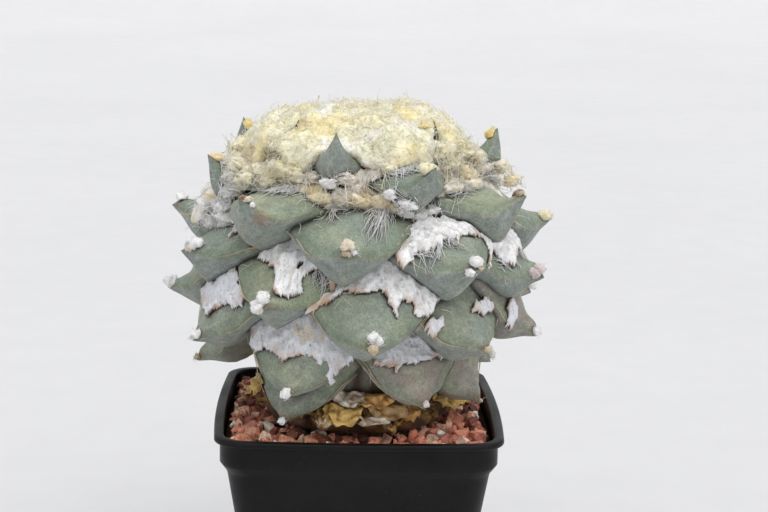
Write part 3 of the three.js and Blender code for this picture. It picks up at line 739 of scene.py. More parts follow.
# Camera
def make_camera():
    forward = Vector((math.sin(CAMERA_YAW) * math.cos(CAMERA_PITCH),
                      math.cos(CAMERA_YAW) * math.cos(CAMERA_PITCH), -math.sin(CAMERA_PITCH)))
    right = Vector((math.cos(CAMERA_YAW), -math.sin(CAMERA_YAW), 0))
    up = right.cross(forward)
    rolled_right = right * math.cos(CAMERA_ROLL) + up * math.sin(CAMERA_ROLL)
    rolled_up = up * math.cos(CAMERA_ROLL) - right * math.sin(CAMERA_ROLL)
    data = bpy.data.cameras.new("camera")
    data.lens = CAMERA_LENS
    data.sensor_width = SENSOR_WIDTH
    data.sensor_fit = "HORIZONTAL"
    data.clip_start = 0.01
    data.clip_end = 50
    camera = bpy.data.objects.new("camera", data)
    turn = Matrix((rolled_right, rolled_up, -forward)).transposed().to_4x4()
    camera.matrix_world = Matrix.Translation(CAMERA_PLACE) @ turn
    bpy.context.scene.collection.objects.link(camera)
    bpy.context.scene.camera = camera


# Stage and light
def make_stage():
    """A pale round floor that curves up far behind the plant, just under the pot."""
    around = 48
    profile = [[0.0005, 0], [0.3, 0], [1, 0], [2, 0], [3, 0.02], [3.8, 0.2], [4.4, 0.6], [4.8, 1.2], [5.0, 2.0],
               [5.05, 3.2]]
    points = np.array([[[r * math.cos(a), r * math.sin(a), z - 0.0002] for a in circle(around)]
                       for r, z in profile]) / MM
    floor = add_mesh("studio_floor", points.reshape(-1, 3), tube_faces(len(profile), around)[0])
    floor.data.materials.append(surface("pale_floor", (3, 0.985, 1.015), (40, 0.99, 1.01), [(60, 0.5)],
                                        (0.75, 0.9), specular=0.2, base=(221, 221, 222)))


def add_sun(name, place, strength, spread, colour):
    """A very soft light from a distant place, the same all over the floor."""
    data = bpy.data.lights.new(name, "SUN")
    data.energy = strength
    data.angle = math.radians(spread)
    data.color = colour
    light = bpy.data.objects.new(name, data)
    way = -Vector(place)
    light.matrix_world = Matrix.Translation(place) @ way.to_track_quat("-Z", "Y").to_matrix().to_4x4()
    bpy.context.scene.collection.objects.link(light)


def make_light():
    world = bpy.data.worlds.new("studio")
    bpy.context.scene.world = world
    world.use_nodes = True
    background = world.node_tree.nodes["Background"]
    background.inputs["Color"].default_value = (*linear((236, 238, 242)), 1)
    background.inputs["Strength"].default_value = WORLD_LIGHT
    bpy.context.scene.view_settings.view_transform = "Standard"
    add_sun("top_light", (0.5, -0.7, 2.0), TOP_LIGHT, 70, (1, 0.99, 0.97))
    add_sun("side_light", (-1.5, -0.8, 1.2), SIDE_LIGHT, 60, (0.95, 0.97, 1))


# Pot
def square_ring(half, corner, height):
    """A rounded square ring whose sides bow out in the middle."""
    steps = 12
    flat = half - corner
    bow = SIDE_BOW * half / RIM_HALF
    run = [(half + bow * (1 - (y / flat) ** 2), y) for y in np.linspace(-flat, flat, steps, endpoint=False)]
    arc = [(flat + corner * math.cos(a), flat + corner * math.sin(a))
           for a in np.linspace(0, math.pi / 2, steps, endpoint=False)]
    ring = []
    for side in range(4):
        c, s = math.cos(side * math.pi / 2), math.sin(side * math.pi / 2)
        ring += [(x * c - y * s, x * s + y * c, height) for x, y in run + arc]
    return ring


def body_half(height):
    return BASE_HALF + (BODY_TOP_HALF - BASE_HALF) * height / SHOULDER_BOTTOM


def drill(x, y):
    """A round cutter for a drain hole."""
    rings = [[[x + DRAIN_RADIUS * math.cos(a), y + DRAIN_RADIUS * math.sin(a), z] for a in circle(32)]
             for z in (-4, 6)]
    return add_tube("drill", np.array(rings))


def pot_levels():
    """The shell's rings from the underside up the outside, over the lip and down inside, for square_ring."""
    low = CORNER_RADIUS - 2
    inner = CORNER_RADIUS - WALL
    rim = POT_HEIGHT
    levels = [(BASE_HALF - 1.2, low - 0.6, 0), (BASE_HALF - 0.5, low, 0.15), (body_half(0.8), low, 0.8)]
    levels += [(body_half(z), low + 2 * z / SHOULDER_BOTTOM, z) for z in (12, 24, 36, 48, 58, 66)]
    outside = [
        (BODY_TOP_HALF, 67.6), (BODY_TOP_HALF + 0.4, 68.4), (BAND_HALF - 0.5, 70.4), (BAND_HALF, 71.3),
        (BAND_HALF, 74), (BAND_HALF, rim - 2.6), (BAND_HALF + 0.15, rim - 2.1), (BAND_HALF + 1.0, rim - 1.95),
        (RIM_HALF - 0.25, rim - 1.8), (RIM_HALF, rim - 1.4), (RIM_HALF, rim - 0.6),
        (RIM_HALF - 0.15, rim - 0.2), (RIM_HALF - 0.5, rim),
    ]
    levels += [(half, CORNER_RADIUS, z) for half, z in outside]
    inside = [
        (BAND_HALF - WALL + 0.5, rim), (BAND_HALF - WALL + 0.1, rim - 0.2), (BAND_HALF - WALL, rim - 0.7),
        (BAND_HALF - WALL, BAND_BOTTOM + 0.4), (BODY_TOP_HALF - WALL, SHOULDER_BOTTOM),
    ]
    levels += [(half, inner, z) for half, z in inside]
    return levels + [(body_half(FLOOR) - WALL, low - WALL, FLOOR)]


def make_pot():
    shell = add_tube("pot_shell", np.array([square_ring(*level) for level in pot_levels()], float))
    sides = (-DRAIN_OFFSET, DRAIN_OFFSET)
    combined(shell, [drill(x, y) for x in sides for y in sides], "DIFFERENCE")
    material, nodes, links, bsdf = new_material("pot_plastic_black")
    grime = noise_node(nodes, links, 60, 5)
    fine = noise_node(nodes, links, 900, 4)
    specks = noise_node(nodes, links, 1500, 2)
    colour = tinted(nodes, links, plain_colour(nodes, (16, 16, 17)), grime, 0.75, 1.5)
    colour = tinted(nodes, links, colour, fine, 0.9, 1.1)
    dust = map_range(nodes, links, specks, (0.74, 0.8), (0, 0.55))
    links.new(mixed(nodes, links, dust, colour, (120, 118, 115)), bsdf.inputs["Base Color"])
    vary_roughness(nodes, links, bsdf, grime, 0.34, 0.5)
    add_bump(nodes, links, bsdf, [(fine, 0.05)])
    bsdf.inputs["Specular IOR Level"].default_value = 0.18
    finish_piece(shell, "pot_plastic", material, "pot")


# Grit
def stone_shapes(rng, count, corners):
    """Angular stones about 1 mm in radius, as (points, triangles)."""
    shapes = []
    for _ in range(count):
        hull = bmesh.new()
        spread = unit(rng.normal(size=(corners, 3))) * rng.uniform(0.8, 1.1, (corners, 1))
        for point in spread:
            hull.verts.new(point)
        result = bmesh.ops.convex_hull(hull, input=hull.verts)
        loose = [v for v in result["geom_interior"] if isinstance(v, bmesh.types.BMVert)]
        bmesh.ops.delete(hull, geom=loose, context="VERTS")
        bmesh.ops.subdivide_edges(hull, edges=hull.edges, cuts=1, use_grid_fill=True)
        bmesh.ops.triangulate(hull, faces=hull.faces)
        hull.verts.ensure_lookup_table()
        points = np.array([v.co for v in hull.verts])
        points += unit(points) * (0.09 * ripple(points, 0.8, int(rng.integers(10000))))[:, None]
        shapes.append((points, np.array([[v.index for v in f.verts] for f in hull.faces])))
        hull.free()
    return shapes


def turn_matrices(rng, count):
    quaternions = unit(rng.normal(size=(count, 4)))
    w, x, y, z = quaternions.T
    return np.stack([
        1 - 2 * (y * y + z * z), 2 * (x * y - z * w), 2 * (x * z + y * w),
        2 * (x * y + z * w), 1 - 2 * (x * x + z * z), 2 * (y * z - x * w),
        2 * (x * z - y * w), 2 * (y * z + x * w), 1 - 2 * (x * x + y * y),
    ], -1).reshape(count, 3, 3)


LAVA = [
    (168, 104, 88), (140, 84, 74), (194, 144, 126), (204, 168, 154), (118, 78, 70), (176, 118, 94),
    (222, 208, 196), (98, 62, 58),
]
LAVA_SHARE = [0.26, 0.18, 0.17, 0.1, 0.1, 0.12, 0.03, 0.04]

# Layers of stones: (spacing, height, smallest and largest radius)
GRIT_LAYERS = ((6.0, 74.2, 2.9, 3.9), (6.8, 76.0, 2.7, 4.0), (8.5, 77.4, 1.0, 1.9))
GRIT_REACH = 40.6
GRIT_CORNER = 34
GRIT_WALL_GAP = 7.7
GRIT_TOP = 79.2
NECK_ROOM = 25.5
GRIT_BED = ((38.8, 69.9), (41.4, 71.2), (41.4, 73.6), (30, 74.2), (25.2, 74.2))


def stone_places(rng):
    """Where the stones lie and how large and how flat they are: layers of them, and a row along each side."""
    places = []
    for spacing, height, low, high in GRIT_LAYERS:
        for y in np.arange(-GRIT_REACH, GRIT_REACH, spacing * 0.87):
            for x in np.arange(-GRIT_REACH, GRIT_REACH, spacing):
                px, py = np.array([x, y]) + rng.uniform(-0.5, 0.5, 2) * spacing * 0.9
                size = rng.uniform(low, high)
                squeeze = rng.uniform(0.6, 1.0)
                beyond = np.maximum(np.abs([px, py]) - GRIT_CORNER, 0)
                excess = math.hypot(*beyond) + size - GRIT_WALL_GAP
                if excess > 0:
                    px, py = np.array([px, py]) - np.sign([px, py]) * unit(beyond) * excess
                z = min(height + rng.uniform(-0.6, 0.8), GRIT_TOP - size)
                if math.hypot(px, py) > NECK_ROOM:
                    places.append((px, py, z, size, squeeze))
    for step in np.arange(-37, 37, 5.2):
        for side in range(4):
            px, py = step + rng.uniform(-1, 1), -38.6 + rng.uniform(-0.4, 0.6)
            for _ in range(side):
                px, py = -py, px
            places.append((px, py, 76.6 + rng.uniform(-0.5, 0.3), rng.uniform(2.1, 2.7), rng.uniform(0.7, 1.0)))
    return places


def make_grit():
    rng = np.random.default_rng(31)
    shapes = stone_shapes(rng, 14, 13)
    places = stone_places(rng)
    turns = turn_matrices(rng, len(places))
    points, triangles, colours, count = [], [], [], 0
    for (x, y, z, size, squeeze), turn in zip(places, turns):
        shape, faces = shapes[int(rng.integers(len(shapes)))]
        stone = (shape * [1, squeeze, 0.5 + 0.5 * squeeze]) @ turn.T * size
        points.append(stone + [x, y, z])
        triangles.append(faces + count)
        colour = linear(LAVA[rng.choice(len(LAVA), p=LAVA_SHARE)]) * rng.uniform(1.6, 2.2)
        colour = (0.84 * colour + 0.16 * colour.mean()) * [1, 0.99, 0.88]
        colours.append(np.tile(colour, (len(stone), 1)) * (1 + 0.15 * ripple(stone, 1.5, 3))[:, None])
        count += len(stone)
    stones = add_mesh("grit_stones", np.concatenate(points), triangles=np.concatenate(triangles),
                      colours=np.clip(np.concatenate(colours), 0.005, 1), smoothed=False)
    material = surface("lava_stone", (500, 0.75, 1.3), (2600, 0.7, 1.3), [(1800, 0.25), (5000, 0.08)],
                       (0.8, 0.97), specular=0.3)
    finish_piece(stones, "lava_grit", material, "grit")
    rings = [square_ring(half, min(7.4, half * 0.28), height) for half, height in GRIT_BED]
    bed = add_tube("grit_bed", np.array(rings, float))
    bed_material = surface("lava_bed", (300, 0.5, 1.2), (1500, 0.6, 1.3), [(900, 0.8), (2500, 0.3)],
                           (0.85, 0.97), specular=0.2, base=(92, 60, 48))
    finish_piece(bed, "lava_grit", bed_material)


# Plant
def make_plant():
    core = turned("stem", STEM, 64)
    body = grown("plant_body", range(YOUNGEST, OLDEST + 1), 22, 12, core, skin_colours, UNDERSIDE)
    root = turned("root", ROOT, 40)
    paint(root.data, np.tile(linear((120, 96, 70)), (len(root.data.vertices), 1)))
    body = combined(body, [root])
    # The skin's colour gets painted shadow, dark brown, in seams narrower than 3 mm between the tubercles.
    material = surface("plant_skin_waxy", (420, 0.86, 1.12), (1500, 0.8, 1.18), [(600, 0.25), (2200, 0.16)],
                       (0.5, 0.68), sheen=0.12, specular=0.4, seam_shadow=3.0)
    finish_piece(body, "plant_skin", material, "plant")


def dried_colours(numbers, marks, points, away):
    """Papery ochre with pale flakes, brown in the creases between the pleats as painted shade, and a dark brown
    core behind as painted shade of the hollow.
    """
    q = marks[:, 1]
    layers = [
        # Painted shade: brown in the creases between the pleats.
        ((150, 104, 56), 0.6 * smooth(0.1, -1.0, pleats(q, numbers))),
        ((128, 88, 48), 0.6 * smooth(-0.3, -1.3, ripple(points, 3.5, 61))),
        ((176, 132, 74), 0.5 * np.isin(numbers, DULL_DRIED)),
        ((236, 226, 204), 0.8 * smooth(1.0, 1.3, ripple(points, 6, 66))),
        # Painted shade: the core, far from the dried tubercles, goes dark brown.
        ((78, 54, 38), smooth(1.0, 2.2, away)),
    ]
    colour = np.tile(linear((196, 156, 92)), (len(points), 1))
    for other, weight in layers:
        blend(colour, other, weight)
    return np.clip(colour * (1 + 0.12 * ripple(points, 7, 62))[:, None], 0.01, 1)


def make_dried():
    core = turned("collar", [[0.5, 84.5], [26, 84.4], [28, 84], [30, 82], [30, 78], [0.5, 78]], 64)
    numbers = range(DRIED_FROM, DRIED_TO + 1)
    body = grown("dried_collar", numbers, 30, 17, core, dried_colours, DRIED_UNDERSIDE)
    points = coordinates(body.data)
    outward = unit(points * [1, 1, 0] + [0, 0, 0.001])
    away = smooth(24, 30, np.hypot(points[:, 0], points[:, 1]))
    raised = smooth(DRIED_UNDERSIDE, DRIED_UNDERSIDE + 1, points[:, 2])
    points[:, 2] += (0.5 * ripple(points, 4, 64) + 0.3 * ripple(points, 1.8, 67)) * away * raised
    points += outward * (0.7 * ripple(points, 3, 65) * away)[:, None]
    points[:, 2] = np.maximum(points[:, 2], DRIED_UNDERSIDE)
    body.data.vertices.foreach_set("co", (points * MM).astype(np.float32).ravel())
    body.data.update()
    material = surface("dried_skin_ochre", (350, 0.75, 1.2), (2200, 0.8, 1.2), [(1200, 0.35), (4000, 0.1)],
                       (0.6, 0.85), sheen=0.1, specular=0.35)
    finish_piece(body, "dried_skin", material, "dried_tubercles")


def flap(rng, middle, half, inner, outer, top, bottom, tone):
    """A crumpled dry flap that hangs from the neck: points, quads and colours of its closed sheet, with painted
    shade brown in its creases and dark brown on its back.
    """
    u, v = np.meshgrid(np.linspace(-1, 1, 30), np.linspace(0, 1, 15), indexing="ij")
    seed = int(rng.integers(1, 9999))
    torn = np.stack([u * 3, v, np.full_like(u, seed * 0.37)], -1)
    v_end = 1 - 0.35 * np.abs(u) ** 2 + 0.12 * ripple(torn * [1, 0, 1], 1.9, 901)
    u_end = 1 + 0.14 * ripple(torn * [0, 1, 1], 0.5, 902)
    angle = np.radians(middle + half * u * u_end)
    drop = v * v_end
    radius = inner + (outer - inner) * drop ** 0.8
    height = top + (bottom - top) * drop ** 1.4
    points = np.stack([radius * np.sin(angle), -radius * np.cos(angle), height], -1)
    outward = unit(points * [1, 1, 0])
    creases = np.abs(ripple(points, 6, 903)) - 0.5
    fine = np.abs(ripple(points, 2.4, 904)) - 0.5
    points = points + (outward + [0, 0, 0.7]) * (1.1 * creases + 0.5 * fine)[..., None]
    points[..., 2] = np.maximum(points[..., 2], DRIED_UNDERSIDE + 0.2)
    back = points - outward * 0.4 - [0, 0, 0.15]
    # Painted shade: brown in the creases and fine wrinkles.
    shade = smooth(0.15, -0.45, creases)[..., None] * 0.6 + smooth(0.0, -0.45, fine)[..., None] * 0.3
    colour = linear(FLAP_TONES[tone]) * (1 - shade) + linear((140, 96, 54)) * shade
    rows = u.shape[1]
    cell = (np.arange(u.shape[0] - 1)[:, None] * rows + np.arange(rows - 1)[None, :]).ravel()
    front = np.stack([cell, cell + rows, cell + rows + 1, cell + 1], -1)
    # The back of the sheet is dark brown: painted shade on its hidden side.
    return closed_sheet(points.reshape(-1, 3), back.reshape(-1, 3), front,
                        colour.reshape(-1, 3), linear((120, 84, 50)))


def closed_sheet(top, low, quads, colours, under_colour):
    """A closed sheet from its upper and lower points and its upper quads, with walls along the border."""
    total = len(top)
    edges = np.concatenate([quads[:, [k, (k + 1) % 4]] for k in range(4)])
    keys = edges[:, 0].astype(np.int64) * (total + 1) + edges[:, 1]
    back = edges[:, 1].astype(np.int64) * (total + 1) + edges[:, 0]
    border = edges[~np.isin(keys, back)]
    walls = np.stack([border[:, 1], border[:, 0], border[:, 0] + total, border[:, 1] + total], -1)
    points = np.concatenate([top, low])
    colours = np.concatenate([colours, np.tile(under_colour, (total, 1))])
    return points, np.concatenate([quads, quads[:, ::-1] + total, walls]), colours


def add_sheets(name, sheets, slot, material):
    """Several closed sheets, each its points, quads and colours, as one piece."""
    starts = np.cumsum([0] + [len(sheet[0]) for sheet in sheets])
    points, colours = (np.concatenate([sheet[k] for sheet in sheets]) for k in (0, 2))
    quads = np.concatenate([sheet[1] + start for sheet, start in zip(sheets, starts)])
    return finish_piece(add_mesh(name, points, quads, colours=colours), slot, material)


def make_flaps():
    """Dry papery flaps round the neck, those in front as pictured and others by chance."""
    rng = np.random.default_rng(48)
    shapes = list(FLAPS)
    for angle in range(60, 300, 24):
        tone = str(rng.choice(list(FLAP_TONES)))
        shapes.append([angle + rng.uniform(-6, 6), rng.uniform(8, 14), 30, rng.uniform(34, 38),
                       rng.uniform(86, 89), rng.uniform(82, 84), tone])
    material = surface("dried_flap_papery", (350, 0.9, 1.1), (2200, 0.85, 1.15), [(1200, 0.3), (4000, 0.1)],
                       (0.6, 0.85), sheen=0.1, specular=0.35)
    add_sheets("dried_flaps", [flap(rng, *shape) for shape in shapes], "dried_skin", material)


# Wool fibres
def fibre_paths(rng, roots, headings, lengths, curl, pull, steps=4):
    """Curling paths that leave roots along headings and are drawn against pull: fibres by points by 3."""
    heading = unit(headings)
    bend = unit(rng.normal(size=roots.shape)) * curl
    points = [roots]
    for _ in range(steps):
        heading = unit(heading + bend + rng.normal(size=roots.shape) * curl * 0.35 - pull)
        bend = unit(bend + 0.8 * np.cross(heading, bend)) * curl
        points.append(points[-1] + heading * (lengths / steps)[:, None])
    return np.stack(points, 1)


def fibre_mesh(rng, paths, radius, colours):
    """Three-sided tapered fibres along paths: points, quads, triangles and colours."""
    count, steps = paths.shape[:2]
    tangent = unit(np.gradient(paths, axis=1))
    reference = unit(rng.normal(size=(count, 1, 3)))
    first = unit(np.cross(tangent, reference))
    second = np.cross(tangent, first)
    taper = np.array([1.0] * (steps - 2) + [0.75, 0.3])
    thickness = np.broadcast_to(radius, (count,))[:, None] * taper
    rings = []
    for k in range(3):
        angle = 2 * math.pi * k / 3
        rings.append(paths + thickness[..., None] * (first * math.cos(angle) + second * math.sin(angle)))
    points = np.stack(rings, 2).reshape(-1, 3)
    base = (np.arange(count) * steps * 3)[:, None, None]
    ring = (np.arange(steps - 1) * 3)[None, :, None]
    k = np.arange(3)[None, None, :]
    after = (k + 1) % 3
    a, b = base + ring + k, base + ring + after
    quads = np.stack([a, b, b + 3, a + 3], -1).reshape(-1, 4)
    start = np.arange(count) * steps * 3
    end = start + (steps - 1) * 3
    triangles = np.concatenate([np.stack([start, start + 2, start + 1], -1),
                                np.stack([end, end + 1, end + 2], -1)])
    return points, quads, triangles, np.repeat(colours, steps * 3, axis=0)


def add_fibres(name, rng, paths, radius, colours, material):
    piece = add_mesh(name, *fibre_mesh(rng, paths, radius, colours))
    return finish_piece(piece, "wool", material)


def clear_of_tubercles(rng, paths, numbers, stray):
    """Marks the fibres that don't hang before a keel or lie over the outer part of a face, and a few strays."""
    keep = np.ones(len(paths), bool)
    inner = paths[:, 1:].reshape(-1, 3)
    for n in numbers:
        tub = TUBERCLES[n]
        t, across, height = tub.local(inner)
        width, face, _, keel = tub.sizes(np.clip(t, 0, 1))
        near = np.abs(across) < width + 0.3
        before = near & (t > 0.35) & (t < 1.12) & (height < 0) & (height > -keel - 2)
        over = near & (t > 0.6) & (t < 1.05) & (height >= 0) & (height < face + 3.5)
        keep &= ~(before | over).reshape(len(paths), -1).any(1)
    return keep | (rng.uniform(size=len(paths)) < stray)


def wool_tint(points, rng, count, mixed=0.3):
    """Cream wool, yellower in wide places, whiter in others, and a greyer beige lower down."""
    gold = 0.16 + 0.46 * smooth(-0.6, 1.3, ripple(points, 15, 71) + mixed * rng.normal(size=count))
    gold = (gold + 0.2 * smooth(0.3, 1.5, ripple(points, 6, 77)))[:, None]
    white = smooth(0.5, 1.6, ripple(points, 13, 72) + mixed * rng.normal(size=count))[:, None]
    low = smooth(170, 156, points[:, 2])[:, None]
    colour = linear(CREAM) * (1 - gold) + linear(GOLDEN) * gold
    colour = colour * (1 - 0.6 * white) + linear(WHITE_WOOL) * 0.6 * white
    colour = colour * (1 - 0.6 * low) + linear(BEIGE) * 0.6 * low
    return np.clip(colour * (1 + 0.2 * mixed * rng.normal(size=(count, 1))), 0, 0.97)


def surface_seats(rng, mesh, count, allowed=None):
    """Random places all over a mesh, where allowed says of the faces' middles, with the normals there."""
    mesh.calc_loop_triangles()
    triangles = np.empty(len(mesh.loop_triangles) * 3, np.int32)
    mesh.loop_triangles.foreach_get("vertices", triangles)
    triangles = triangles.reshape(-1, 3)
    points = coordinates(mesh)
    normals = np.empty(len(points) * 3, np.float32)
    mesh.vertices.foreach_get("normal", normals)
    normals = normals.reshape(-1, 3)
    corners = points[triangles]
    area = np.linalg.norm(np.cross(corners[:, 1] - corners[:, 0], corners[:, 2] - corners[:, 0]), axis=1)
    if allowed is not None:
        area = area * allowed(corners.mean(1))
    chosen = rng.choice(len(triangles), count, p=area / area.sum())
    shares = rng.dirichlet((1, 1, 1), count)[..., None]
    return (corners[chosen] * shares).sum(1), unit((normals[triangles[chosen]] * shares).sum(1))


def locks(points, size):
    """Directions that turn slowly from place to place, so that neighbouring fibres lie in locks."""
    return np.stack([ripple(points, size, 600 + k) for k in range(3)], -1)


def matted(rng, seats, normals, shortest, longest, loose, lock=0.8, curl=0.6, steps=4):
    """Fibres that lie matted along a surface and leave it along its normals by about loose mm at the most."""
    count = len(seats)
    way = lock * locks(seats, 9) + rng.normal(size=(count, 3)) * 0.6
    way -= normals * (way * normals).sum(-1, keepdims=True)
    headings = unit(way) + normals * rng.uniform(-0.05, 0.35, (count, 1))
    roots = seats + rng.normal(size=(count, 3)) * 0.3
    lengths = rng.uniform(shortest, longest, count)
    paths = fibre_paths(rng, roots, headings, lengths, curl, normals * 0.12, steps)
    tree = search_tree(seats)
    flat = paths.reshape(-1, 3)
    nearest = np.array([tree.find(p)[1] for p in flat])
    height = ((flat - seats[nearest]) * normals[nearest]).sum(-1)
    allowed = np.repeat(loose * rng.exponential(0.55, count), paths.shape[1])
    over = np.clip(height - allowed, 0, None) - np.clip(-0.2 - height, 0, None)
    return (flat - normals[nearest] * over[:, None]).reshape(paths.shape)


def grid_normals(grid):
    """Unit normals of a grid of points, rings by points round them."""
    along_rings = np.gradient(grid, axis=0)
    round_rings = np.roll(grid, -1, 1) - np.roll(grid, 1, 1)
    return unit(np.cross(round_rings, along_rings))


def set_back(points):
    """Moves wool in from where it would cover the outer side of a young tubercle."""
    radial = unit(points * [1, 1, 0] + 1e-9)
    for n in range(-19, -5):
        tub = TUBERCLES[n]
        t, across, height = tub.local(points)
        width, face, _, keel = tub.sizes(np.clip(t, 0, 1))
        steep = max(tub.out[2], 0.35)
        gap = face + 0.6 - height
        there = smooth(width + 2.5, width + 0.4, np.abs(across)) * smooth(0.2, 0.4, t) * smooth(1.25, 1.08, t)
        there *= (height > -keel - 7) & (gap > 0)
        points -= radial * (np.clip(gap / steep, 0, 14) * there)[..., None]
    return points


def make_crown_wool(material):
    rng = np.random.default_rng(41)
    around, rings = 200, 100
    outline = np.array(WOOL_OUTLINE, float)
    run = np.concatenate([[0], np.cumsum(np.linalg.norm(np.diff(outline, axis=0), axis=1))])
    places = np.linspace(0, run[-1], rings)
    radii, heights = np.interp(places, run, outline[:, 0]), np.interp(places, run, outline[:, 1])
    angles = circle(around)
    skin = np.stack([radii[:, None] * np.cos(angles), radii[:, None] * np.sin(angles),
                     heights[:, None] * np.ones(around)], -1)
    lumps = 1.1 * ripple(skin, 13, 51) + 0.45 * ripple(skin, 5.5, 52) + 0.25 * ripple(skin, 2.6, 53)
    skin += grid_normals(skin) * (lumps * (skin[..., 2] > 150))[..., None]
    skin = set_back(lean(skin))
    pimples = 0.2 * ripple(skin, 1.7, 55) + rng.normal(0, 0.16, skin.shape[:2])
    skin += grid_normals(skin) * pimples[..., None]
    base = add_tube("crown_wool_base", skin[::-1])
    points = coordinates(base.data)
    paint(base.data, wool_tint(points, np.random.default_rng(1), len(points), 0.0))
    finish_piece(base, "wool", material, "crown_wool")
    seats, ways = surface_seats(rng, base.data, WOOL_FIBRES, lambda p: p[:, 2] > WOOL_LOWEST_FIBRE)
    paths = matted(rng, seats, ways, 2.5, 8, 1.5, lock=0.5, curl=0.8)
    tint = wool_tint(seats, rng, len(seats))
    keep = clear_of_tubercles(rng, paths, range(-14, 0), 0.5)
    paths, tint = paths[keep], tint[keep]
    thickness = rng.uniform(0.05, 0.12, len(paths))
    for part in range(3):
        some = slice(part, None, 3)
        add_fibres(f"crown_wool_fibres_{part + 1}", rng, paths[some], thickness[some], tint[some], material)


def icosphere(subdivisions):
    """The points and triangles of a ball of radius 1."""
    ball = bmesh.new()
    bmesh.ops.create_icosphere(ball, subdivisions=subdivisions, radius=1)
    ball.verts.ensure_lookup_table()
    points = np.array([v.co for v in ball.verts])
    faces = np.array([[v.index for v in f.verts] for f in ball.faces])
    ball.free()
    return points, faces


def quilt_tint(n, points):
    """White to beige wool with warm places."""
    golden = GOLDEN_QUILTS.get(n, 0.1)
    warm = smooth(0.4 - golden * 1.5, 1.6 - golden, ripple(points, 9, 74))[:, None]
    shade = smooth(1.2, -0.6, ripple(points, 3, 75))[:, None] * 0.12
    main = linear(WHITE_WOOL) * 0.5 + linear(BEIGE) * 0.5
    return np.clip((main * (1 - warm) + linear(GOLDEN) * 0.92 * warm) * (1 - shade), 0, 0.97)


def make_quilts(material):
    """Thick ragged wool in the axils of the young tubercles, with fibres matted all over it."""
    rng = np.random.default_rng(46)
    sheets = []
    for n, (left, right, left_reach, right_reach, thick) in QUILTS.items():
        across = np.linspace(left, right, 8)
        lower = np.linspace(left_reach, right_reach, 8) + rng.uniform(-0.05, 0.05, 8)
        lower[[0, -1]] -= 0.06
        outline = [*zip(across, lower), (right, -0.4), (left, -0.4)]
        points, quads, _ = mat_sheet(n, outline, 0.95, thick)
        sheets.append((points, quads, quilt_tint(n, points)))
    piece = add_sheets("axil_quilts", sheets, "wool", material)
    seats, ways = surface_seats(rng, piece.data, QUILT_FIBRES)
    outer = np.array([nearest_face_height(seat) for seat in seats]) > 0.3
    seats, ways = seats[outer], ways[outer]
    paths = matted(rng, seats, ways, 4, 11, 2.5, lock=0.5, curl=0.8)
    bases = {n: TUBERCLES[n].face(0.1, 0.0) for n in QUILTS}
    owner = np.array([min(bases, key=lambda n: np.linalg.norm(bases[n] - seat)) for seat in seats])
    tints = np.concatenate([quilt_tint(n, seats[owner == n]) for n in QUILTS])
    order = np.concatenate([np.flatnonzero(owner == n) for n in QUILTS])
    paths = paths[order]
    tints = np.clip(tints * rng.uniform(0.84, 1.08, (len(tints), 1)), 0, 0.97)
    add_fibres("axil_quilt_fibres", rng, paths, rng.uniform(0.08, 0.19, len(paths)), tints, material)


def nearest_face_height(point):
    """How high a point stands over the face of the quilted tubercle that is nearest."""
    best = 99.0
    for n in QUILTS:
        tub = TUBERCLES[n]
        t, across, height = tub.local(point)
        if -0.2 < t < 0.9 and abs(across) < tub.half_width:
            width, face, edge, _ = tub.sizes(t)
            q = min(abs(across) / max(float(width), 0.5), 1)
            best = min(best, abs(height - crowned(edge, face, q)) + (height < 0) * 9)
    return best


def make_axil_wool(material):
    """Wool that comes out between the tubercles, thick among the young ones and in thin lines lower down."""
    rng = np.random.default_rng(43)
    paths, tints, radii = [], [], []
    for n in range(-17, OLDEST + 1):
        tub = TUBERCLES[n]
        young = float(smooth(2, -8, n))
        count = int(46 + 96 * young)
        q = rng.uniform(-1.0, 1.0, count)
        t = rng.uniform(0.02, 0.34, count) + 0.12 * np.abs(q)
        lift = rng.uniform(0, 1.2 + 5 * young, count)
        roots = tub.face(t, q, lift)
        headings = (tub.out * rng.uniform(0.2, 1.1, (count, 1))
                    + tub.up * rng.uniform(0.0, 0.5 + young, (count, 1))
                    + tub.side * rng.normal(size=(count, 1)) * 0.9 + 0.3 * rng.normal(size=(count, 3)))
        lengths = rng.uniform(3, 6 + 3 * young, count)
        some = fibre_paths(rng, roots, headings, lengths, 0.45, np.array([0, 0, 0.15 - 0.1 * young]))
        paths.append(some)
        warm = smooth(0, 1.5, ripple(roots, 14, 73))[:, None]
        colour = linear(WHITE_WOOL) * (1 - 0.8 * warm) + linear(BEIGE if n > -3 else GOLDEN) * 0.8 * warm
        tints.append(np.clip(colour * rng.uniform(0.85, 1.08, (count, 1)), 0, 0.95))
        radii.append(rng.uniform(0.05, 0.1 + 0.03 * young, count))
    paths, tints, radii = np.concatenate(paths), np.concatenate(tints), np.concatenate(radii)
    keep = clear_of_tubercles(rng, paths, range(-19, OLDEST + 1), 0.04)
    add_fibres("axil_wool", rng, paths[keep], radii[keep], tints[keep], material)


def face_fibres(rng, tub, middle, spread, start, end, count, steps=4):
    """Fibres that run out along an upper face from step start to about end, in locks that draw together."""
    s = np.linspace(0, 1, steps + 1)[None, :]
    groups = max(count // 9, 1)
    lock = rng.integers(0, groups, count)
    seat = (rng.uniform(-1, 1, groups)[lock] + 0.1 * rng.normal(size=count))[:, None]
    bend = (1.8 * rng.normal(size=groups)[lock] + 1.1 * rng.normal(size=count))[:, None]
    first = start + rng.uniform(-0.04, 0.08, (count, 1))
    last = first + (end - start) * rng.uniform(0.35, 1.0, (count, 1))
    across = middle + spread * seat * (1 - 0.5 * s) + bend * np.sin(3.6 * s + 5 * seat) * s
    across = across + 0.75 * np.cumsum(rng.normal(size=(count, steps + 1)), 1) * s
    lift = 0.3 + 1.3 * rng.uniform(size=(count, 1)) * np.sin(np.pi * np.clip(s + 0.15, 0, 1))
    return tub.face_at(first + (last - first) * s, across, lift)


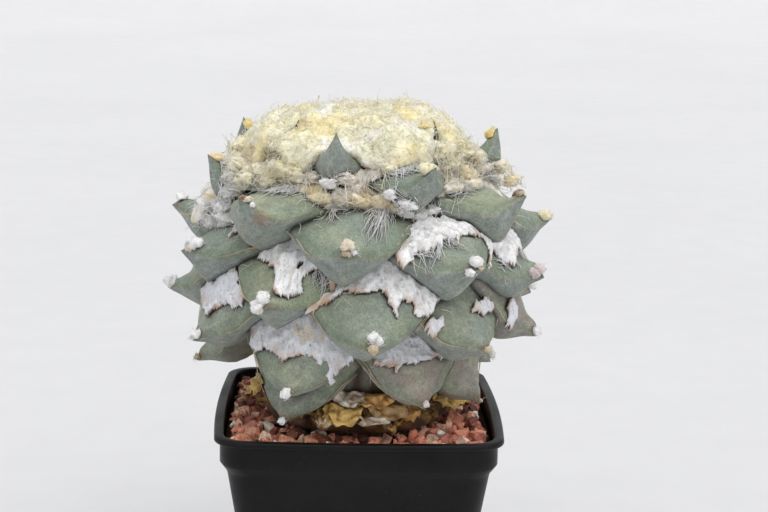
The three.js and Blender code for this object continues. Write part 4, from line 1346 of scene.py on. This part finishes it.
def dry_lines(rng, tub, count, steps=4):
    """Thin dry lines that follow a tubercle's two edges in the grooves."""
    s = np.linspace(0, 1, steps + 1)[None, :]
    side = rng.choice((-1.0, 1.0), (count, 1))
    first = rng.uniform(0.1, 0.5, (count, 1))
    t = first + rng.uniform(0.15, 0.35, (count, 1)) * s
    q = side * (rng.uniform(0.97, 1.03, (count, 1)) + 0.015 * np.sin(5 * s + 9 * first))
    return tub.face(t, q, rng.uniform(0.05, 0.35, (count, 1)) + 0 * s)


def make_strands(material):
    """Hanging strands on the faces and dry lines along the edges."""
    rng = np.random.default_rng(47)
    hanging = np.concatenate([face_fibres(rng, TUBERCLES[n], *shape) for n, *shape in STRANDS])
    warm = smooth(0.3, 1.6, ripple(hanging[:, 0], 10, 76))[:, None]
    tints = linear(WHITE_WOOL) * (1 - warm) + linear(BEIGE) * 0.9 * warm
    dry = np.concatenate([dry_lines(rng, TUBERCLES[n], 7) for n in range(0, OLDEST + 1)])
    paths = np.concatenate([hanging, dry])
    tints = np.concatenate([tints, np.tile(linear(DRY_EDGES), (len(dry), 1))])
    tints = np.clip(tints * rng.uniform(0.88, 1.05, (len(paths), 1)), 0, 0.96)
    radii = np.concatenate([rng.uniform(0.07, 0.16, len(hanging)), rng.uniform(0.1, 0.2, len(dry))])
    add_fibres("hanging_strands", rng, paths, radii, tints, material)


# Bumps of a ball of wool: (share of its radius, size of the bumps, seed)
BALL_BUMPS = ((0.16, 1.3, 200), (0.1, 0.5, 260), (0.06, 0.25, 280))


def lumpy_balls(rng, lumps, subdivisions, rough, wide):
    """Ragged balls of wool at rows of (centre, out, side, up, radius, tone): points, triangles and tones."""
    shape, faces = icosphere(subdivisions)
    points, triangles, colours = [], [], []
    for k, (centre, out, side, up, radius, tone) in enumerate(lumps):
        turned_shape = shape @ turn_matrices(rng, 1)[0].T
        waves = [share * ripple(turned_shape, size, seed + k) for share, size, seed in BALL_BUMPS]
        bumps = 1 + rough * sum(waves)
        axes = np.stack([out * 1.15, side * wide * rng.uniform(0.9, 1.1), up * 0.85])
        points.append(centre + (shape * bumps[:, None]) @ axes * radius)
        triangles.append(faces + k * len(shape))
        shade = 1 - 0.18 * smooth(0.2, -1, ripple(turned_shape, 0.8, 300 + k))
        colours.append(linear(TONES[tone]) * shade[:, None])
    return np.concatenate(points), np.concatenate(triangles), np.clip(np.concatenate(colours), 0, 0.97)


def nearest_tones(points, tones, seats):
    tree = search_tree(points)
    return tones[[tree.find(seat)[1] for seat in seats]]


def make_puffs(material):
    """Loose wool between the young tubercles, ragged balls under fibres that run over from one to the next."""
    rng = np.random.default_rng(48)
    back = [[degrees + rng.uniform(-5, 5), rng.uniform(37, 42), rng.uniform(156, 164), rng.uniform(3, 4.2),
             ("cream", "yellow", "beige", "white")[rng.integers(4)]] for degrees in BACK_PUFFS]
    rows = []
    for degrees, distance, height, radius, tone in PUFFS + back:
        angle = math.radians(degrees)
        out = np.array([math.sin(angle), -math.cos(angle), 0])
        centre = out * distance + [0, 0, height]
        rows.append((centre, out, np.array([out[1], -out[0], 0]), np.array([0, 0, 1.0]), 0.78 * radius, tone))
    points, triangles, tones = lumpy_balls(rng, rows, 3, 1.3, 1.45)
    mottle = (0.1 + 0.35 * smooth(-0.4, 1.4, ripple(points, 3.5, 79)))[:, None]
    tones = tones * (1 - mottle) + linear(WHITE_WOOL) * mottle
    piece = add_mesh("wool_puffs", points, triangles=triangles, colours=tones)
    finish_piece(piece, "wool", material)
    seats, ways = surface_seats(rng, piece.data, PUFF_FIBRES)
    paths = matted(rng, seats, ways, 4, 11, 3, lock=0.5, curl=0.8, steps=5)
    tints = np.clip(nearest_tones(points, tones, seats) * rng.uniform(0.93, 1.2, (len(seats), 1)), 0, 0.98)
    add_fibres("puff_fibres", rng, paths, rng.uniform(0.06, 0.16, len(paths)), tints, material)


def make_areoles(material):
    """The woolly knobs behind the beaks, each of lumpy balls with short matted fibres."""
    rng = np.random.default_rng(44)
    lumps = [[n, step, across, lift, radius, "white"] for n, step, across, lift, radius in FELT_LUMPS]
    for n in range(FIRST_AREOLE, OLDEST + 1):
        step = YOUNG_AREOLE_STEP if n < 0 else OLD_AREOLE_STEP
        plain = [[step, 0, rng.uniform(1.6, 2.1), "golden" if n < -5 else "white"]]
        for step, across, radius, tone in AREOLES.get(n, plain):
            lumps.append([n, step, across, 0.35 * radius, radius, tone])
    rows = []
    for n, step, across, lift, radius, tone in lumps:
        tub = TUBERCLES[n]
        rows.append((tub.face_at(step, across, lift), tub.out, tub.side, tub.up, radius, tone))
    points, triangles, tones = lumpy_balls(rng, rows, 3, 1.0, 1.0)
    piece = add_mesh("areole_knobs", points, triangles=triangles, colours=tones)
    finish_piece(piece, "wool", material)
    seats, ways = surface_seats(rng, piece.data, AREOLE_FIBRES)
    paths = matted(rng, seats, ways, 1.2, 3.4, 0.7, lock=0.2, curl=0.8)
    tints = np.clip(nearest_tones(points, tones, seats) * rng.uniform(0.95, 1.12, (len(seats), 1)), 0, 0.96)
    add_fibres("areole_hairs", rng, paths, rng.uniform(0.05, 0.09, len(paths)), tints, material)


def random_mat(rng, tub):
    """The outline of a mat that no photograph shows."""
    left = -tub.half_width * rng.uniform(0.35, 0.85)
    right = tub.half_width * rng.uniform(0.35, 0.85)
    across = np.linspace(left, right, 9)
    reach = rng.uniform(0.3, 0.45, 9)
    tongue = int(rng.integers(1, 8))
    reach[tongue] += rng.uniform(0.08, 0.22)
    reach[[0, -1]] *= 0.7
    return [*zip(across, reach), (right, 0.05), (left, 0.05)]


def inside_distance(a, b, outline):
    """How far places (a, b) lie inside a closed outline, below 0 outside it."""
    nearest = np.full(a.shape, np.inf)
    crossed = np.zeros(a.shape, bool)
    for (x0, y0), (x1, y1) in zip(outline, np.roll(outline, -1, 0)):
        dx, dy = x1 - x0, y1 - y0
        share = np.clip(((a - x0) * dx + (b - y0) * dy) / (dx * dx + dy * dy), 0, 1)
        nearest = np.minimum(nearest, np.hypot(a - x0 - share * dx, b - y0 - share * dy))
        straddled = (y0 > b) != (y1 > b)
        crossed ^= straddled & (a < dx * (b - y0) / (dy if dy else 1) + x0)
    return np.where(crossed, nearest, -nearest)


def mat_sheet(n, outline, spacing, thick=0.0):
    """One torn mat of wool on an upper face: points, quads and colours of its closed sheet, with painted shade
    grey in its creases and dark brown underneath.
    """
    tub = TUBERCLES[n]
    outline = np.array(outline, float) * [1, tub.length]
    low, high = outline.min(0) - 1.5, outline.max(0) + 1.5
    across, run = np.meshgrid(*(np.arange(low[k], high[k], spacing) for k in (0, 1)), indexing="ij")
    flat = np.stack([across, run, np.full_like(run, n * 37.0)], -1)
    a = across + 0.45 * ripple(flat, 4, 401) + 0.13 * ripple(flat, 1.8, 402)
    b = run + 0.4 * ripple(flat, 3.5, 403) + 0.1 * ripple(flat, 1.8, 404)
    inside = inside_distance(a, b, outline)
    if n in SLITS and thick < 1:
        x, y = SLITS[n][0], SLITS[n][1] * tub.length
        inside = np.minimum(inside, 0.4 * (np.hypot((across - x) / 0.4, (run - y) / 1.3) - 1))
    kept = inside > 0
    cell = kept[:-1, :-1] & kept[1:, :-1] & kept[:-1, 1:] & kept[1:, 1:]
    used = np.zeros_like(kept)
    for da, db in ((0, 0), (1, 0), (1, 1), (0, 1)):
        used[da:da + cell.shape[0], db:db + cell.shape[1]] |= cell
    fibrous = flat * [1, 0.35 if n == 7 else 0.8, 1]
    folds = 1 - np.abs(ripple(fibrous, 4, 405 + n))
    fine = 1 - np.abs(ripple(fibrous, 1.7, 425 + n))
    wave = ripple(flat, 5.5, 406 + n)
    rim = np.exp(-np.maximum(inside, 0) / 1.1)
    lift = 0.85 + 0.5 * folds + 0.2 * fine + 0.35 * wave + 0.35 * rim
    lift = np.maximum(lift, 0.6) * smooth(-0.2, 1.0, inside * 3)
    puffs = 0.85 + 0.22 * ripple(flat, 5, 407) + 0.1 * ripple(flat, 2, 408)
    lift += thick * smooth(0, 0.9 * thick + 0.5, inside) * puffs
    under = np.where(rim > 0.35, np.minimum(lift - 0.35, 0.35), -0.6)
    top = tub.face_at(run / tub.length, across, lift)
    bottom = tub.face_at(run / tub.length, across, under)
    index = -np.ones(kept.shape, int)
    index[used] = np.arange(used.sum())
    quads = np.stack([c[cell] for c in (index[:-1, :-1], index[1:, :-1], index[1:, 1:], index[:-1, 1:])], -1)
    white = linear((232, 234, 240) if n in GREY_MATS else (254, 254, 255))
    colour = np.tile(white, (int(used.sum()), 1))
    layers = [
        # Painted shade: grey in the low folds and the fine creases.
        ((198, 199, 204), 0.5 * smooth(0.4, -0.3, folds)),
        ((206, 205, 206), 0.35 * smooth(0.4, 0.0, fine)),
    ]
    if n in BEIGE_PLACES:
        x, y = BEIGE_PLACES[n][0], BEIGE_PLACES[n][1] * tub.length
        spot = np.hypot((across - x) / 5, (run - y) / 2.6) + 0.35 * ripple(flat, 3, 410)
        layers.append(((220, 204, 184), 0.7 * smooth(1.2, 0.6, spot)))
    layers += [
        ((186, 140, 98), 0.9 * rim * smooth(-0.2, 0.8, ripple(flat, 6, 408 + n))),
        ((150, 140, 132), 0.6 * smooth(1.0, 1.7, ripple(flat, 1.5, 409))),
        ((178, 172, 168), 0.5 * smooth(0.12, 0.0, np.abs(ripple(fibrous, 3.2, 411 + n)))),
    ]
    for other, weight in layers:
        blend(colour, other, weight[used])
    # Underside and border walls in the rims' brown, darkened as painted shade beneath the mat.
    return closed_sheet(top[used], bottom[used], quads, colour, linear((150, 112, 78)) * 0.6)


def make_mats(material):
    rng = np.random.default_rng(45)
    sheets = []
    for n in range(FIRST_MAT, OLDEST + 1):
        outline = random_mat(rng, TUBERCLES[n])
        if n not in BARE_OF_MATS:
            shown = n in MATS
            sheets.append(mat_sheet(n, MATS.get(n, outline), 0.45 if shown else 0.85, THICK_MATS.get(n, 0.0)))
    sheets += [mat_sheet(n, outline, 0.42) for n, outline in EXTRA_MATS]
    add_sheets("wool_mats", sheets, "wool", material)


def make_soil():
    material = surface("soil_dark", (200, 0.6, 1.3), (1500, 0.7, 1.3), [(700, 0.8), (2500, 0.3)],
                       (0.85, 0.97), specular=0.2, base=(58, 42, 32))
    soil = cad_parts["soil"]
    for slot in soil.material_slots:
        slot.material = material


make_camera()
make_stage()
make_light()
make_pot()
make_soil()
make_grit()
make_plant()
make_dried()
make_flaps()
fleece = surface("wool_cream", (400, 0.96, 1.07), (2400, 0.94, 1.08), [(850, 0.16), (2600, 0.12)],
                 (0.85, 0.98), sheen=0.35, specular=0.15, glow=0.4)
felt = surface("wool_felt", (420, 0.95, 1.08), (2200, 0.9, 1.12), [(1500, 0.35), (4200, 0.15)],
               (0.7, 0.92), sheen=0.25, specular=0.2)
make_crown_wool(fleece)
make_quilts(fleece)
make_puffs(fleece)
make_axil_wool(fleece)
make_strands(fleece)
make_areoles(fleece)
make_mats(felt)
